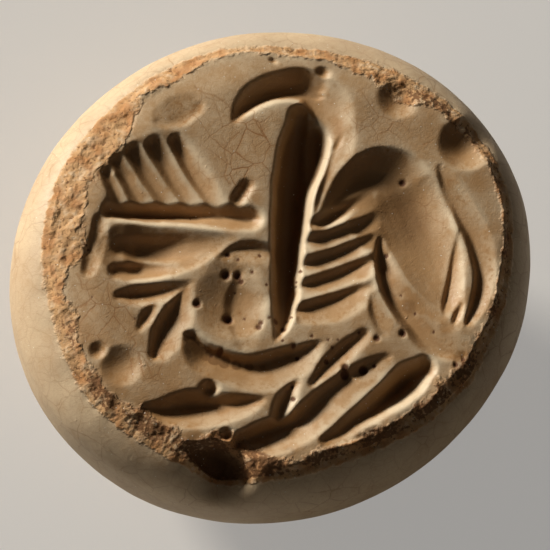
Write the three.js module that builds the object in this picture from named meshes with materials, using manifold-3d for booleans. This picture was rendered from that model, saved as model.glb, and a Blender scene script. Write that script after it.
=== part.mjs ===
// A stone stamp seal of the low domed kind, lying on its worn back with the sealing face up.
// It is one pebble of pale stone: an oval flat face carved with a sunken figure, a rounded
// flank, a domed back worn flat where it rests, and a string hole bored in from both ends.
// Millimetres. +Z points out of the sealing face, +X to the figure's right and +Y to its top.

import * as THREE from 'three';
import { mergeVertices } from 'three/addons/utils/BufferGeometryUtils.js';
import Module from 'manifold-3d';

// The stone
const height = 14; // from the worn back to the sealing face
const faceLength = 23.6; // long diameter of the sealing face, out to its rim
const faceWidth = 21.7; // short diameter of the sealing face
const endBulge = 1.7; // how far the widest belt stands out past the rim at the ends
const sideBulge = 1.55; // and at the sides
const beltDrop = 3.2; // widest belt below the sealing face
const backFlat = 8.4; // long diameter of the flat worn into the back
const domeFullness = 2.25; // 2 is a plain oval dome, more is fuller
const flankFullness = 0.93; // nearer 1 makes the flank turn in more sharply under the rim
const stoneTurn = THREE.MathUtils.degToRad(30); // long axis of the stone, turned from X
const stoneSides = 84; // straight sides round each level of the stone
const domeLevels = 9;
const flankLevels = 5;

// The worn rim of the face
const rimBevelWidth = 0.55;
const rimBevelDrop = 0.3;
const chipCount = 30; // flakes broken out of the rim
const chipWidth = 1.5; // the widest flake
const chipSmallest = 0.55; // width of the smallest flake, as a share of the widest
const chipDepth = 0.42;
const chipStep = THREE.MathUtils.degToRad(25.5); // from one flake to the next round the rim
const chipWander = 0.8; // how far a flake strays from its step, in radians
const chipTumble = new THREE.Vector2(0.9, 1.3); // turn of each flake past the one before it

// The string hole, bored from both ends of the long axis to meet in the middle
const holeHeight = 5.6; // its middle line above the back
const holeMouth = 3.8; // diameter where it comes out
const holeWaist = 2.6; // diameter where the two borings meet
const holeSides = 20;

// How the cutting tools are made
const overcut = 0.35; // how far a tool reaches above the face that it cuts
const liftReach = 0.5; // where a stroke's tool has lifted out, in widths past its last station
const liftWidth = 0.35; // width of the cut there, as a share of its width at that station
const liftDepth = 0.3; // and its depth
const drillTip = [[0, 1], [0.55, 0.8], [0.9, 0.3]]; // radius and depth, as shares
const drillSides = 14;
const pitSides = 8;

// The figure is laid out in mm on a face of this size, and spreads with the real face
const drawnLength = 23.6;
const drawnWidth = 21.7;

// Shapes of a cut across its path, as [side, depth]: side -1 is the lip on the right of the path
// and 1 the lip on its left, and depth is a share of the full depth.
const graver = [[-1, 0], [0, 1], [1, 0]];
const gouge = [[-1, 0], [-0.62, 0.72], [0, 1], [0.62, 0.72], [1, 0]];
const bowl = [[-1, 0], [-0.75, 0.4], [-0.4, 0.84], [0, 1], [0.4, 0.84], [0.75, 0.4], [1, 0]];

// Long cuts. Each station is [x, y, width at the face, depth]. lean is how far the bottom line
// lies towards the left lip, from -1 to 1.
const strokes = [
  { // tall central bar, the deepest cut
    section: gouge,
    lean: 0.1,
    stations: [
      [1.27, 7.25, 1.35, 0.85], [1.2, 6.5, 1.55, 1.2], [1, 5.5, 1.9, 1.4], [0.87, 4.3, 2.1, 1.45],
      [0.64, 2.6, 1.95, 1.45], [0.54, 1.6, 1.84, 1.4], [0.44, 0.5, 1.65, 1.35],
      [0.38, -0.5, 1.55, 1.25], [0.28, -2, 1.37, 1], [0.16, -3, 1.1, 0.7], [0, -3.8, 0.7, 0.35],
      [-0.22, -4.4, 0.3, 0.1],
    ],
  },
  { // lower part of the neck, where it runs into the bar
    section: gouge,
    stations: [
      [1.9, 7, 1.9, 0.8], [1.9, 6.5, 2.3, 1.05], [1.85, 5.8, 2.2, 1.1], [1.65, 5, 1.9, 1],
      [1.4, 4, 1.3, 0.8], [1.2, 3, 0.8, 0.5],
    ],
  },
  { // level bar to its left
    section: graver,
    lean: 0.2,
    stations: [
      [-8.5, 2.12, 0.9, 0.45], [-7.6, 2.1, 1, 0.6], [-6.3, 2.1, 1.1, 0.66], [-5, 2.06, 1.2, 0.66],
      [-3.9, 2, 1.35, 0.6], [-2.6, 1.9, 1.42, 0.5], [-1.42, 1.85, 1.32, 0.44],
    ],
  },
  { // shallow upright cut at the far left
    section: bowl,
    lean: -0.2,
    stations: [
      [-9, 1.6, 0.9, 0.14], [-9.08, 0.9, 1, 0.17], [-9.25, 0.2, 1.05, 0.18],
      [-9.42, -0.4, 1.05, 0.17], [-9.6, -0.95, 0.9, 0.13],
    ],
  },
  { // short cut above the level bar
    section: gouge,
    stations: [[-2.05, 2.85, 0.8, 0.2], [-1.6, 3.55, 0.75, 0.18]],
  },
  { // curved crest at the top
    section: bowl,
    lean: -0.15,
    stations: [
      [-2.15, 7.05, 0.45, 0.12], [-1.7, 7.75, 1.1, 0.4], [-0.95, 8.4, 1.45, 0.6],
      [0, 8.83, 1.65, 0.72], [1.2, 8.98, 2, 0.72], [2, 8.7, 2.05, 0.6],
    ],
  },
  { // neck that the crest turns down into
    section: bowl,
    lean: -0.5,
    stations: [
      [2, 8.7, 2.05, 0.58], [2.5, 8.1, 2.5, 0.55], [2.75, 7.3, 2.5, 0.52], [2.9, 6.5, 2.05, 0.45],
      [2.9, 5.9, 1.5, 0.3],
    ],
  },
  { // broad groove from the neck down beside the bar
    section: graver,
    lean: -0.15,
    stations: [
      [3.05, 6.9, 1.8, 0.32], [3.15, 6.2, 1.65, 0.36], [2.98, 5.3, 1.55, 0.36],
      [2.68, 4.3, 1.25, 0.32], [2.36, 3.4, 0.92, 0.26], [2.02, 2.5, 0.56, 0.16],
    ],
  },
  { // large oval hollow at the right
    section: bowl,
    stations: [
      [5.3, 3.5, 4.6, 0.78], [5.9, 2.4, 5.3, 0.85], [6.5, 1.2, 5, 0.78], [7.1, 0, 4, 0.55],
      [7.6, -1.2, 2.8, 0.3], [8.1, -2.3, 1.5, 0.1],
    ],
  },
  { // its pointed lower left corner
    section: gouge,
    lean: 0.15,
    stations: [
      [2.3, 1.75, 0.9, 0.2], [3.1, 2.75, 1.8, 0.5], [4, 3.6, 2.6, 0.68], [4.8, 4.1, 2.8, 0.7],
    ],
  },
  { // outer of the two curved lines by the right rim
    section: graver,
    lean: -0.5,
    stations: [
      [8.35, 4.7, 0.5, 0.08], [8.7, 3.8, 1.1, 0.2], [9.3, 2.7, 1.45, 0.28], [9.9, 1.5, 1.45, 0.3],
      [10.2, 0.4, 1.35, 0.3], [10.35, -0.6, 1.2, 0.32], [10.25, -1.5, 1.05, 0.33],
      [9.95, -2.5, 0.9, 0.3], [9.55, -3.3, 0.6, 0.2],
    ],
  },
  { // inner of the two curved lines
    section: graver,
    lean: -0.6,
    stations: [
      [9.2, 1.3, 0.4, 0.06], [9.12, 0.3, 0.75, 0.16], [9, -0.6, 0.85, 0.2],
      [8.82, -1.5, 0.85, 0.2], [8.58, -2.3, 0.75, 0.18], [8.4, -2.9, 0.4, 0.06],
    ],
  },
  { // nick between their lower ends
    section: graver,
    stations: [[9.15, -2.45, 0.3, 0.1], [8.95, -2.9, 0.5, 0.22], [8.8, -3.3, 0.4, 0.15]],
  },
  { // wedge that widens from the right wing down to the lower right rim
    section: graver,
    lean: -0.7,
    stations: [
      [5.24, 0.95, 0.3, 0.12], [5.27, 0.35, 0.65, 0.3], [5.45, -0.6, 1.15, 0.4],
      [5.77, -1.5, 1.5, 0.36], [6.25, -2.3, 1.75, 0.3], [6.9, -3.05, 1.95, 0.27],
      [7.55, -3.75, 2.35, 0.26], [8.2, -4.35, 2.2, 0.2], [8.9, -4.75, 1.5, 0.1],
    ],
  },
  { // facet beside the wedge
    section: graver,
    lean: -0.6,
    stations: [
      [4.75, -1.3, 0.4, 0.04], [4.9, -2.2, 1, 0.14], [5.1, -3.1, 1.2, 0.14], [5.2, -3.9, 0.7, 0.05],
    ],
  },
  { // ground of the panel under the level bar
    section: gouge,
    stations: [
      [-7.8, 0.03, 2.5, 0.24], [-7, 0.02, 2.9, 0.4], [-6, 0, 2.9, 0.4], [-5, -0.08, 2.75, 0.32],
      [-4.2, 0.22, 2, 0.25], [-3.3, 0.5, 1.2, 0.16],
    ],
  },
  { // upper of the two cuts in the panel
    section: gouge,
    lean: 0.1,
    stations: [
      [-7.9, 0.3, 1, 0.45], [-7, 0.22, 1.4, 0.72], [-5.8, 0.22, 1.5, 0.66], [-4.6, 0.35, 1.3, 0.42],
    ],
  },
  { // lower of the two cuts in the panel
    section: gouge,
    stations: [
      [-8.2, -1, 1, 0.35], [-7.4, -1, 1.2, 0.58], [-6.4, -0.95, 1.15, 0.5], [-5.4, -0.9, 0.8, 0.3],
    ],
  },
  { // cut between the panel and the central bar
    section: graver,
    lean: 0.5,
    stations: [
      [-2.95, -0.25, 0.4, 0.06], [-2.2, 0.05, 1, 0.2], [-1.3, 0.12, 1.2, 0.26], [-0.5, 0, 1.1, 0.24],
    ],
  },
  { // shallow body of the figure
    section: bowl,
    lean: 0.1,
    stations: [
      [-2.35, -1.2, 2.8, 0.18], [-2.45, -2.1, 3.9, 0.32], [-2.3, -3, 3.9, 0.34],
      [-2, -3.8, 2.8, 0.22],
    ],
  },
  { // boat-shaped hollow under the body
    section: graver,
    lean: 0.68,
    stations: [
      [-4.6, -4.5, 1, 0.45], [-4.05, -5.35, 1.6, 0.68], [-3.3, -5.75, 1.65, 0.68],
      [-2.35, -6.1, 1.75, 0.68], [-1.45, -6.23, 1.9, 0.7], [-0.42, -6.07, 2.1, 0.7],
      [0.35, -5.75, 1.95, 0.68], [1.08, -5.38, 1.5, 0.55], [1.58, -4.95, 1, 0.36],
      [2, -4.6, 0.4, 0.1],
    ],
  },
  { // ground of the upper left wing
    section: gouge,
    lean: -0.4,
    stations: [[-6.7, 5.1, 3.2, 0.4], [-6.4, 4.5, 4.4, 0.45], [-6.15, 4, 4.9, 0.38]],
  },
  { // feathers of the upper left wing
    section: graver,
    stations: [[-8.4, 3.6, 0.8, 0.3], [-7.95, 2.9, 0.8, 0.25]],
  },
  {
    section: graver,
    lean: -0.2,
    stations: [[-8.2, 4.6, 0.8, 0.35], [-7.6, 3.8, 1.1, 0.6], [-6.8, 2.9, 1, 0.45]],
  },
  {
    section: graver,
    lean: -0.2,
    stations: [[-7.4, 5.4, 0.9, 0.4], [-6.6, 4.3, 1.1, 0.62], [-5.5, 2.9, 1.05, 0.45]],
  },
  {
    section: graver,
    lean: -0.2,
    stations: [[-6.4, 5.85, 0.9, 0.4], [-5.5, 4.5, 1.2, 0.62], [-4.3, 2.9, 1.15, 0.45]],
  },
  {
    section: graver,
    lean: -0.2,
    stations: [[-5.3, 6, 0.8, 0.3], [-4.3, 4.5, 1.05, 0.5], [-3.1, 2.9, 0.95, 0.25]],
  },
  { // feathers of the lower left wing
    section: graver,
    lean: 0.2,
    stations: [
      [-8.1, -2.3, 0.6, 0.2], [-7.3, -2.28, 1.1, 0.4], [-6.3, -2.15, 1.15, 0.42],
      [-5.3, -1.95, 0.95, 0.26], [-4.5, -1.65, 0.5, 0.08],
    ],
  },
  {
    section: graver,
    lean: 0.2,
    stations: [[-7.05, -4, 0.4, 0.1], [-6.7, -3.4, 0.8, 0.22], [-6.25, -2.75, 0.6, 0.1]],
  },
  {
    section: graver,
    lean: 0.5,
    stations: [
      [-6.1, -5.2, 1.1, 0.26], [-5.7, -4.35, 1.7, 0.44], [-5.22, -3.4, 1.65, 0.44],
      [-4.88, -2.6, 1.2, 0.32], [-4.65, -1.9, 0.6, 0.15],
    ],
  },
  { // feathers of the right wing
    section: graver,
    lean: 0.4,
    stations: [[1.9, 1.6, 0.7, 0.25], [3, 2.08, 1.15, 0.5], [4, 2.6, 1.2, 0.75], [4.8, 3.2, 1, 0.8]],
  },
  {
    section: graver,
    lean: 0.45,
    stations: [
      [1.55, 0.6, 0.8, 0.2], [2.2, 0.78, 1.18, 0.38], [3, 1.05, 1.15, 0.48], [4, 1.5, 1.1, 0.55],
      [4.95, 2.05, 0.9, 0.5],
    ],
  },
  {
    section: graver,
    lean: 0.45,
    stations: [
      [1.3, -0.6, 0.75, 0.2], [2, -0.38, 1.1, 0.33], [3, 0, 1.12, 0.42], [4, 0.52, 1.05, 0.46],
      [4.75, 0.92, 0.8, 0.3],
    ],
  },
  {
    section: graver,
    lean: 0.5,
    stations: [
      [1.15, -1.75, 0.85, 0.2], [2, -1.52, 1.3, 0.34], [3, -1.17, 1.42, 0.4],
      [4, -0.65, 1.35, 0.42], [4.7, -0.3, 0.95, 0.25],
    ],
  },
  {
    section: graver,
    lean: 0.6,
    stations: [
      [0.95, -3.1, 0.7, 0.15], [1.8, -2.88, 1.3, 0.28], [2.8, -2.6, 1.55, 0.34],
      [3.8, -2.15, 1.45, 0.3], [4.55, -1.8, 0.9, 0.15],
    ],
  },
  { // limbs along the bottom
    section: graver,
    lean: 0.35,
    stations: [
      [-6.7, -8.1, 0.7, 0.2], [-5.9, -8.2, 1.4, 0.5], [-5.2, -8.15, 1.85, 0.68],
      [-4.4, -8.1, 2.1, 0.74], [-3.5, -8.05, 1.95, 0.64], [-2.6, -8, 1.5, 0.46],
      [-1.7, -7.8, 1.1, 0.32], [-1.1, -7.6, 0.5, 0.15],
    ],
  },
  {
    section: graver,
    lean: 0.5,
    stations: [
      [-1.9, -9.85, 1.45, 0.75], [-1.1, -9.65, 1.85, 0.8], [-0.1, -9.3, 1.95, 0.76],
      [0.8, -8.93, 1.85, 0.66], [1.65, -8.27, 1.9, 0.55], [2.4, -7.62, 1.95, 0.45],
      [3.15, -7, 1.95, 0.4], [3.82, -6.5, 1.75, 0.35], [4.5, -5.97, 1.4, 0.27],
      [5.2, -5.45, 0.85, 0.12],
    ],
  },
  {
    section: graver,
    lean: 0.15,
    stations: [
      [2.2, -9.6, 0.8, 0.2], [2.95, -9.15, 1.15, 0.34], [3.6, -8.6, 1.3, 0.46],
      [4.33, -8.05, 1.4, 0.62], [5.1, -7.48, 1.55, 0.85], [5.85, -6.9, 1.75, 1.05],
      [6.45, -6.35, 1.85, 1.05], [7.15, -5.8, 1.35, 0.7],
    ],
  },
  {
    section: graver,
    lean: 0.3,
    stations: [[1.6, -6.65, 0.6, 0.16], [2.3, -5.85, 1, 0.3], [3.2, -5, 1.1, 0.32], [4.2, -4.15, 0.8, 0.18]],
  },
  {
    section: graver,
    lean: 0.2,
    stations: [[-0.1, -8.4, 1, 0.5], [0.05, -7.8, 1.05, 0.5], [0.35, -7.2, 0.95, 0.36], [0.75, -6.6, 0.6, 0.16]],
  },
  {
    section: graver,
    stations: [[3.2, -9.6, 0.3, 0.08], [3.9, -9.25, 0.5, 0.14], [4.6, -8.9, 0.4, 0.1]],
  },
  { // worn dimple at the upper left
    section: bowl,
    lean: -0.5,
    stations: [[-5.75, 7.1, 1.3, 0.1], [-5.05, 7.42, 1.65, 0.16], [-4.35, 7.75, 1.35, 0.12]],
  },
  { // hollow broken out of the lower rim
    section: gouge,
    stations: [
      [-4.6, -10, 0.6, 0.4], [-4, -10.3, 1.3, 1], [-3.3, -10.6, 1.9, 1.5], [-2.6, -10.9, 1.8, 1.5],
      [-2.1, -11.3, 1.2, 1],
    ],
  },
];

// Hollows turned with the drill: [x, y, radius at the face, depth]
const drillings = [
  [6.2, 8.35, 1.05, 0.4],
  [9.6, 6, 1.45, 0.6],
  [-8, -5.9, 1.05, 0.28],
  [-9.1, -5.2, 0.55, 0.38],
  [2.4, 9.65, 0.42, 0.35],
  [-3.65, -7.05, 0.52, 0.65],
  [-2.8, -9.35, 0.36, 0.4],
];

// Natural pits in the stone: [x, y, radius]
const pits = [
  [-2.73, -1.1, 0.25], [-2.1, -1.12, 0.22], [-4.2, -2.65, 0.24], [-2.65, -3.38, 0.28],
  [-1.1, -3.72, 0.18], [-0.25, -3.45, 0.16], [0.13, -3.85, 0.15], [-3.05, -5.08, 0.18],
  [0.8, -5.3, 0.14], [0.55, -7.45, 0.14], [2.25, -5.5, 0.14], [3.15, -6.05, 0.26],
  [4.1, -5.88, 0.25], [4.78, -4.3, 0.18], [6.1, -4, 0.2], [6.42, 4.05, 0.18],
  [8.75, -5.6, 0.16], [5.5, 0.22, 0.14],
];
const pitDepthShare = 1.3; // a pit is deeper than its radius

// A closed skin over a stack of rings with as many points each, with a flat cap at both ends.
// Seen from the far end of the stack, the points of a ring run anticlockwise.
function loft(rings) {
  const around = rings[0].length;
  const faces = [];
  for (let level = 0; level < rings.length - 1; level += 1) {
    for (let side = 0; side < around; side += 1) {
      const here = level * around + side;
      const beside = level * around + ((side + 1) % around);
      faces.push(here, beside, beside + around);
      faces.push(here, beside + around, here + around);
    }
  }
  const last = (rings.length - 1) * around;
  for (let side = 1; side < around - 1; side += 1) {
    faces.push(0, side + 1, side);
    faces.push(last, last + side, last + side + 1);
  }
  const geometry = new THREE.BufferGeometry().setFromPoints(rings.flat());
  geometry.setIndex(faces);
  return geometry;
}

// An oval ring of the stone at height z, with its half lengths along and across the long axis
function ovalRing(alongHalf, acrossHalf, z) {
  const ring = [];
  for (let side = 0; side < stoneSides; side += 1) {
    const angle = (2 * Math.PI * side) / stoneSides;
    const point = new THREE.Vector3(alongHalf * Math.cos(angle), acrossHalf * Math.sin(angle), z);
    ring.push(point.applyAxisAngle(new THREE.Vector3(0, 0, 1), stoneTurn));
  }
  return ring;
}

// The uncut pebble, from the worn back over the dome and the belt to the bevelled rim
function pebble() {
  const beltAlong = faceLength / 2 + endBulge;
  const beltAcross = faceWidth / 2 + sideBulge;
  const beltHeight = height - beltDrop;
  const flatShare = backFlat / (2 * beltAlong);
  const domeReach = beltHeight / (1 - flatShare ** domeFullness) ** (1 / domeFullness);
  const startAngle = Math.acos(flatShare ** (domeFullness / 2));
  const rings = [];
  for (let level = 0; level <= domeLevels; level += 1) {
    const angle = startAngle * (1 - level / domeLevels);
    const share = Math.cos(angle) ** (2 / domeFullness);
    const z = beltHeight - domeReach * Math.sin(angle) ** (2 / domeFullness);
    rings.push(ovalRing(beltAlong * share, beltAcross * share, z));
  }
  const turnedIn = Math.sqrt(1 - flankFullness ** 2);
  for (let level = 1; level <= flankLevels; level += 1) {
    const climb = level / flankLevels;
    const share = (Math.sqrt(1 - (flankFullness * climb) ** 2) - turnedIn) / (1 - turnedIn);
    const z = beltHeight + (beltDrop - rimBevelDrop) * climb;
    rings.push(ovalRing(faceLength / 2 + endBulge * share, faceWidth / 2 + sideBulge * share, z));
  }
  rings.push(ovalRing(faceLength / 2 - rimBevelWidth, faceWidth / 2 - rimBevelWidth, height));
  return loft(rings);
}

// A point of the drawn figure on the real face, spread along and across the stone's long axis
function onFace(x, y) {
  const point = new THREE.Vector2(x, y).rotateAround(new THREE.Vector2(), -stoneTurn);
  point.multiply(new THREE.Vector2(faceLength / drawnLength, faceWidth / drawnWidth));
  return point.rotateAround(new THREE.Vector2(), stoneTurn);
}

// A cutting tool that follows a stroke, with its ends drawn in where the tool lifts out
function strokeTool({ section, lean = 0, stations }) {
  const middles = stations.map(([x, y]) => new THREE.Vector3(...onFace(x, y), height));
  const path = new THREE.CatmullRomCurve3(middles, false, 'centripetal');
  const steps = stations.map(([, , width, depth], index) => ({
    middle: middles[index],
    way: path.getTangent(index / (stations.length - 1)),
    width,
    depth,
  }));
  const lifted = ({ middle, way, width, depth }, direction) => ({
    middle: middle.clone().addScaledVector(way, direction * width * liftReach),
    way,
    width: width * liftWidth,
    depth: depth * liftDepth,
  });
  const start = lifted(steps[0], -1);
  const end = lifted(steps[steps.length - 1], 1);
  const leaning = section.map(([side, share]) => [lean + side * (1 - Math.sign(side) * lean), share]);
  return loft([start, ...steps, end].map((step) => sectionRing(leaning, step)));
}

// The outline of a stroke's tool square to its path, with its walls carried on above the face
function sectionRing(section, { middle, way, width, depth }) {
  const left = new THREE.Vector3(-way.y, way.x, 0).normalize();
  const at = (side, drop) => middle.clone().addScaledVector(left, (side * width) / 2)
    .add(new THREE.Vector3(0, 0, -drop));
  const [rightWall, leftWall] = [section[1], section[section.length - 2]];
  const rightFlare = (overcut * (1 + rightWall[0])) / (rightWall[1] * depth);
  const leftFlare = (overcut * (1 - leftWall[0])) / (leftWall[1] * depth);
  return [
    at(-1 - rightFlare, -overcut),
    ...section.slice(1, -1).map(([side, share]) => at(side, share * depth)),
    at(1 + leftFlare, -overcut),
  ];
}

// The tip of a drill, round below and flaring above the face
function drillTool(x, y, radius, depth, sides) {
  const profile = drillTip.map(([out, down]) => new THREE.Vector2(out * radius, -down * depth));
  profile.push(new THREE.Vector2(radius, 0), new THREE.Vector2(radius, overcut));
  profile.push(new THREE.Vector2(0, overcut));
  const place = onFace(x, y);
  const tool = new THREE.LatheGeometry(profile, sides);
  return tool.rotateX(Math.PI / 2).translate(place.x, place.y, height);
}

// A flake broken out of the rim: flakes are spread by a fixed step, and vary by turns
function chipTool(index) {
  const angle = index * chipStep + chipWander * Math.sin(2.7 * index);
  const share = chipSmallest + (1 - chipSmallest) * Math.sin(1.7 * index) ** 2;
  const tool = new THREE.IcosahedronGeometry((chipWidth * share) / 2, 0);
  tool.rotateX(chipTumble.x * index).rotateY(chipTumble.y * index);
  tool.scale(1, 1, (2 * chipDepth) / chipWidth);
  const edge = new THREE.Vector2(
    (faceLength / 2) * Math.cos(angle),
    (faceWidth / 2) * Math.sin(angle),
  ).rotateAround(new THREE.Vector2(), stoneTurn);
  return tool.translate(edge.x, edge.y, height - rimBevelDrop / 2);
}

// The borings of the string hole: narrowest in the middle, widest past both ends
function stringHoleTool() {
  const reach = faceLength / 2 + endBulge;
  const profile = [
    new THREE.Vector2(0, -reach),
    new THREE.Vector2(holeMouth / 2, -reach),
    new THREE.Vector2(holeWaist / 2, 0),
    new THREE.Vector2(holeMouth / 2, reach),
    new THREE.Vector2(0, reach),
  ];
  const tool = new THREE.LatheGeometry(profile, holeSides);
  return tool.rotateZ(Math.PI / 2).rotateZ(stoneTurn).translate(0, 0, holeHeight);
}

const wasm = await Module();
wasm.setup();

// A closed geometry as a solid that can be joined and cut
function solid(geometry) {
  geometry.deleteAttribute('normal');
  geometry.deleteAttribute('uv');
  const merged = mergeVertices(geometry, 1e-5);
  const mesh = new wasm.Mesh({
    numProp: 3,
    vertProperties: new Float32Array(merged.attributes.position.array),
    triVerts: new Uint32Array(merged.index.array),
  });
  return new wasm.Manifold(mesh);
}

// A solid back as a geometry for drawing
function geometryOf(body) {
  const mesh = body.getMesh();
  const geometry = new THREE.BufferGeometry();
  geometry.setAttribute('position', new THREE.BufferAttribute(mesh.vertProperties, 3));
  geometry.setIndex(new THREE.BufferAttribute(mesh.triVerts, 1));
  geometry.computeVertexNormals();
  return geometry;
}

const tools = [
  ...strokes.map(strokeTool),
  ...drillings.map(([x, y, radius, depth]) => drillTool(x, y, radius, depth, drillSides)),
  ...pits.map(([x, y, radius]) => drillTool(x, y, radius, radius * pitDepthShare, pitSides)),
  ...Array.from({ length: chipCount }, (_, index) => chipTool(index)),
  stringHoleTool(),
];
let carved = solid(pebble());
for (const tool of tools) {
  carved = carved.subtract(solid(tool));
}

const stone = new THREE.MeshStandardMaterial({ color: 0xcdb894, roughness: 0.62, metalness: 0 });
const seal = new THREE.Mesh(geometryOf(carved), stone);
seal.name = 'seal_stone';

const group = new THREE.Group();
group.add(seal);

export default group;
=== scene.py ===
"""A carved stone stamp seal, lying on its worn back with the sealing face up.

The stone is one closed skin: a face grid that carries the carving, a flank, and a domed back with
a string hole bored through it. Sizes are in millimetres until a mesh is made, then in metres.
+X is the figure's right, +Y its top and +Z points out of the sealing face.
"""

import logging
import math
from collections.abc import Iterable, Mapping
from dataclasses import dataclass, field
from enum import Enum
from typing import Any, NamedTuple

import bpy
import numpy as np
from mathutils import Matrix, Vector


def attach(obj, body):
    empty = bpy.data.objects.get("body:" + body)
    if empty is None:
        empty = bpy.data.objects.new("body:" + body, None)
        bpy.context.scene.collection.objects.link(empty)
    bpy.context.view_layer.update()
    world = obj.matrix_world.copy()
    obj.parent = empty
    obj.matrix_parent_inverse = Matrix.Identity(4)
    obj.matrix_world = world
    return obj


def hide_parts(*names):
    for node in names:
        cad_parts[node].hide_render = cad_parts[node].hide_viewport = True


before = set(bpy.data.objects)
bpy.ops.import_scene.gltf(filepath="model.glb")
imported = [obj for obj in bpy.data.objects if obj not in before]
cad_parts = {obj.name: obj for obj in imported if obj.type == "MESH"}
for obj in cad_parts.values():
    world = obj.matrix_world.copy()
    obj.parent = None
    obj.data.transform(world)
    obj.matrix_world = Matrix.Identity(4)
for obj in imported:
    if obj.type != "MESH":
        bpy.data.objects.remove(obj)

log = logging.getLogger("seal")

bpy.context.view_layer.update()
NODE = "seal_stone"
BODY = "root"
UV_NAME = "OFBake"
MM = 0.001

Pair = tuple[float, float]
Triple = tuple[float, float, float]
Place = Pair
Colour = Triple
Station = tuple[float, float, float, float]

# where each kind of unevenness is read in the noise, so that no two of them match
SWELL_SHIFT, CRUMB_SHIFT, BREAK_SHIFT, WEAR_SHIFT = 9.0, 5.0, 31.0, 70.0


def smooth_step(low: float, high: float, value: np.ndarray) -> np.ndarray:
    """Rise smoothly from 0 at low to 1 at high, which may be the smaller of the two."""
    share = np.clip((value - low) / (high - low), 0.0, 1.0)
    return share * share * (3.0 - 2.0 * share)


class Grain:
    """Seeded smooth noise in space, for whatever the hand or the ground left uneven."""

    TABLE_SIZE = 4096
    STEPS = (73856093, 19349663, 83492791)
    LAYER_SHIFT = 17.3  # millimetres from layer to layer, so that they don't line up
    AXIS_SHIFT = 101  # cells from axis to axis of a crumb's seat
    STRAY = 0.42  # how far a crumb sits off the middle of its cell

    def __init__(self, seed: int) -> None:
        """Draw the table of noise values, which one seed makes the same each run."""
        self._values = np.random.default_rng(seed).uniform(-1.0, 1.0, self.TABLE_SIZE)

    def _corner(self, cell: np.ndarray) -> np.ndarray:
        """Look up the noise value of whole-number corners."""
        mixed = (cell[:, 0] * self.STEPS[0]) ^ (cell[:, 1] * self.STEPS[1]) ^ (cell[:, 2] * self.STEPS[2])
        return self._values[mixed % self.TABLE_SIZE]

    def at(self, points: np.ndarray, size: float) -> np.ndarray:
        """Noise between -1 and 1.

        Args:
            points: Rows of x, y, z in millimetres.
            size: Width of one swell of the noise in millimetres.

        Returns:
            One value for each point.
        """
        scaled = points / size
        cell = np.floor(scaled).astype(np.int64)
        part = smooth_step(0.0, 1.0, scaled - cell)
        total = np.zeros(len(points))
        for corner in np.ndindex(2, 2, 2):
            pull = np.where(corner, part, 1.0 - part).prod(axis=1)
            total += pull * self._corner(cell + np.array(corner))
        return total

    def layered(self, points: np.ndarray, size: float, layers: int = 3) -> np.ndarray:
        """Noise with finer noise laid over it, each layer half the size and strength."""
        places = (points + self.LAYER_SHIFT * layer for layer in range(layers))
        return sum(self.at(place, size / 2**layer) / 2**layer for layer, place in enumerate(places))

    def crumbs(self, points: np.ndarray, size: float) -> np.ndarray:
        """Rounded crumbs packed side by side.

        Args:
            points: Rows of x, y, z in millimetres.
            size: Spacing of the crumbs in millimetres.

        Returns:
            One value for each point, 1 on top of a crumb and near 0 in the gaps.
        """
        scaled = points / size
        cell = np.floor(scaled).astype(np.int64)
        nearest = np.full(len(points), np.inf)
        for step in np.ndindex(3, 3, 3):
            other = cell + np.array(step) - 1
            seat = np.stack([self._corner(other + self.AXIS_SHIFT * axis) for axis in range(3)], axis=1)
            nearest = np.minimum(nearest, ((scaled - other - 0.5 - self.STRAY * seat) ** 2).sum(axis=1))
        return np.clip(1.0 - np.sqrt(nearest), 0.0, 1.0)


class Section(Enum):
    """The shape of a cut across its path, as the power and the softness of its walls."""

    GRAVER = (1.15, 1.0)
    GOUGE = (2.3, 1.0)
    BOWL = (2.0, 1.35)
    DISH = (2.0, 1.0)

    def share(self, off_bottom: np.ndarray) -> np.ndarray:
        """Share of the full depth, where off_bottom is 0 on the bottom line and 1 at the lip."""
        power, softness = self.value
        return (1.0 - np.clip(off_bottom, 0.0, 1.0) ** power) ** softness

    def along(self, *stations: Station, lean: float = 0.0, blunt: float = 1.0) -> "Stroke":
        """Describe a stroke with this section."""
        return Stroke(self, stations, lean, blunt)


@dataclass(frozen=True)
class Stroke:
    """A long cut in the face.

    Each station is x, y, the width at the face and the depth. lean is how far the bottom line
    lies towards the lip on the left of the path, from -1 to 1. blunt is the length of the
    rounding of both ends as a share of half the width.
    """

    section: Section
    stations: tuple[Station, ...]
    lean: float
    blunt: float

    SPACING = 0.06

    def followed(self) -> np.ndarray:
        """Follow the stations on a smooth curve.

        Returns:
            Rows of x, y, width, depth and the way along the path, close together.
        """
        knots = np.array(self.stations)
        ends = np.vstack([2 * knots[0] - knots[1], knots, 2 * knots[-1] - knots[-2]])
        rows = []
        for index in range(len(knots) - 1):
            before, start, end, after = ends[index : index + 4]
            count = max(2, math.ceil(np.linalg.norm((end - start)[:2]) / self.SPACING))
            share = (np.arange(count) / count)[:, None]
            bend = 2 * start + (end - before) * share
            bend += (2 * before - 5 * start + 4 * end - after) * share**2
            bend += (3 * start - before - 3 * end + after) * share**3
            rows.append(bend / 2)
        path = np.vstack([*rows, knots[-1:]])
        way = np.gradient(path[:, :2], axis=0)
        way /= np.linalg.norm(way, axis=1, keepdims=True)
        return np.hstack([path, way])


class Spot(NamedTuple):
    """A round patch: a drilled hollow, a pit or a stain. strength is its depth or its darkness."""

    x: float
    y: float
    radius: float
    strength: float = 1.0


def spots(*rows: tuple[float, ...]) -> tuple[Spot, ...]:
    """Describe round patches, each by its x, y, radius and strength."""
    return tuple(Spot(*row) for row in rows)


GRAVER, GOUGE, BOWL, DISH = Section

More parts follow.
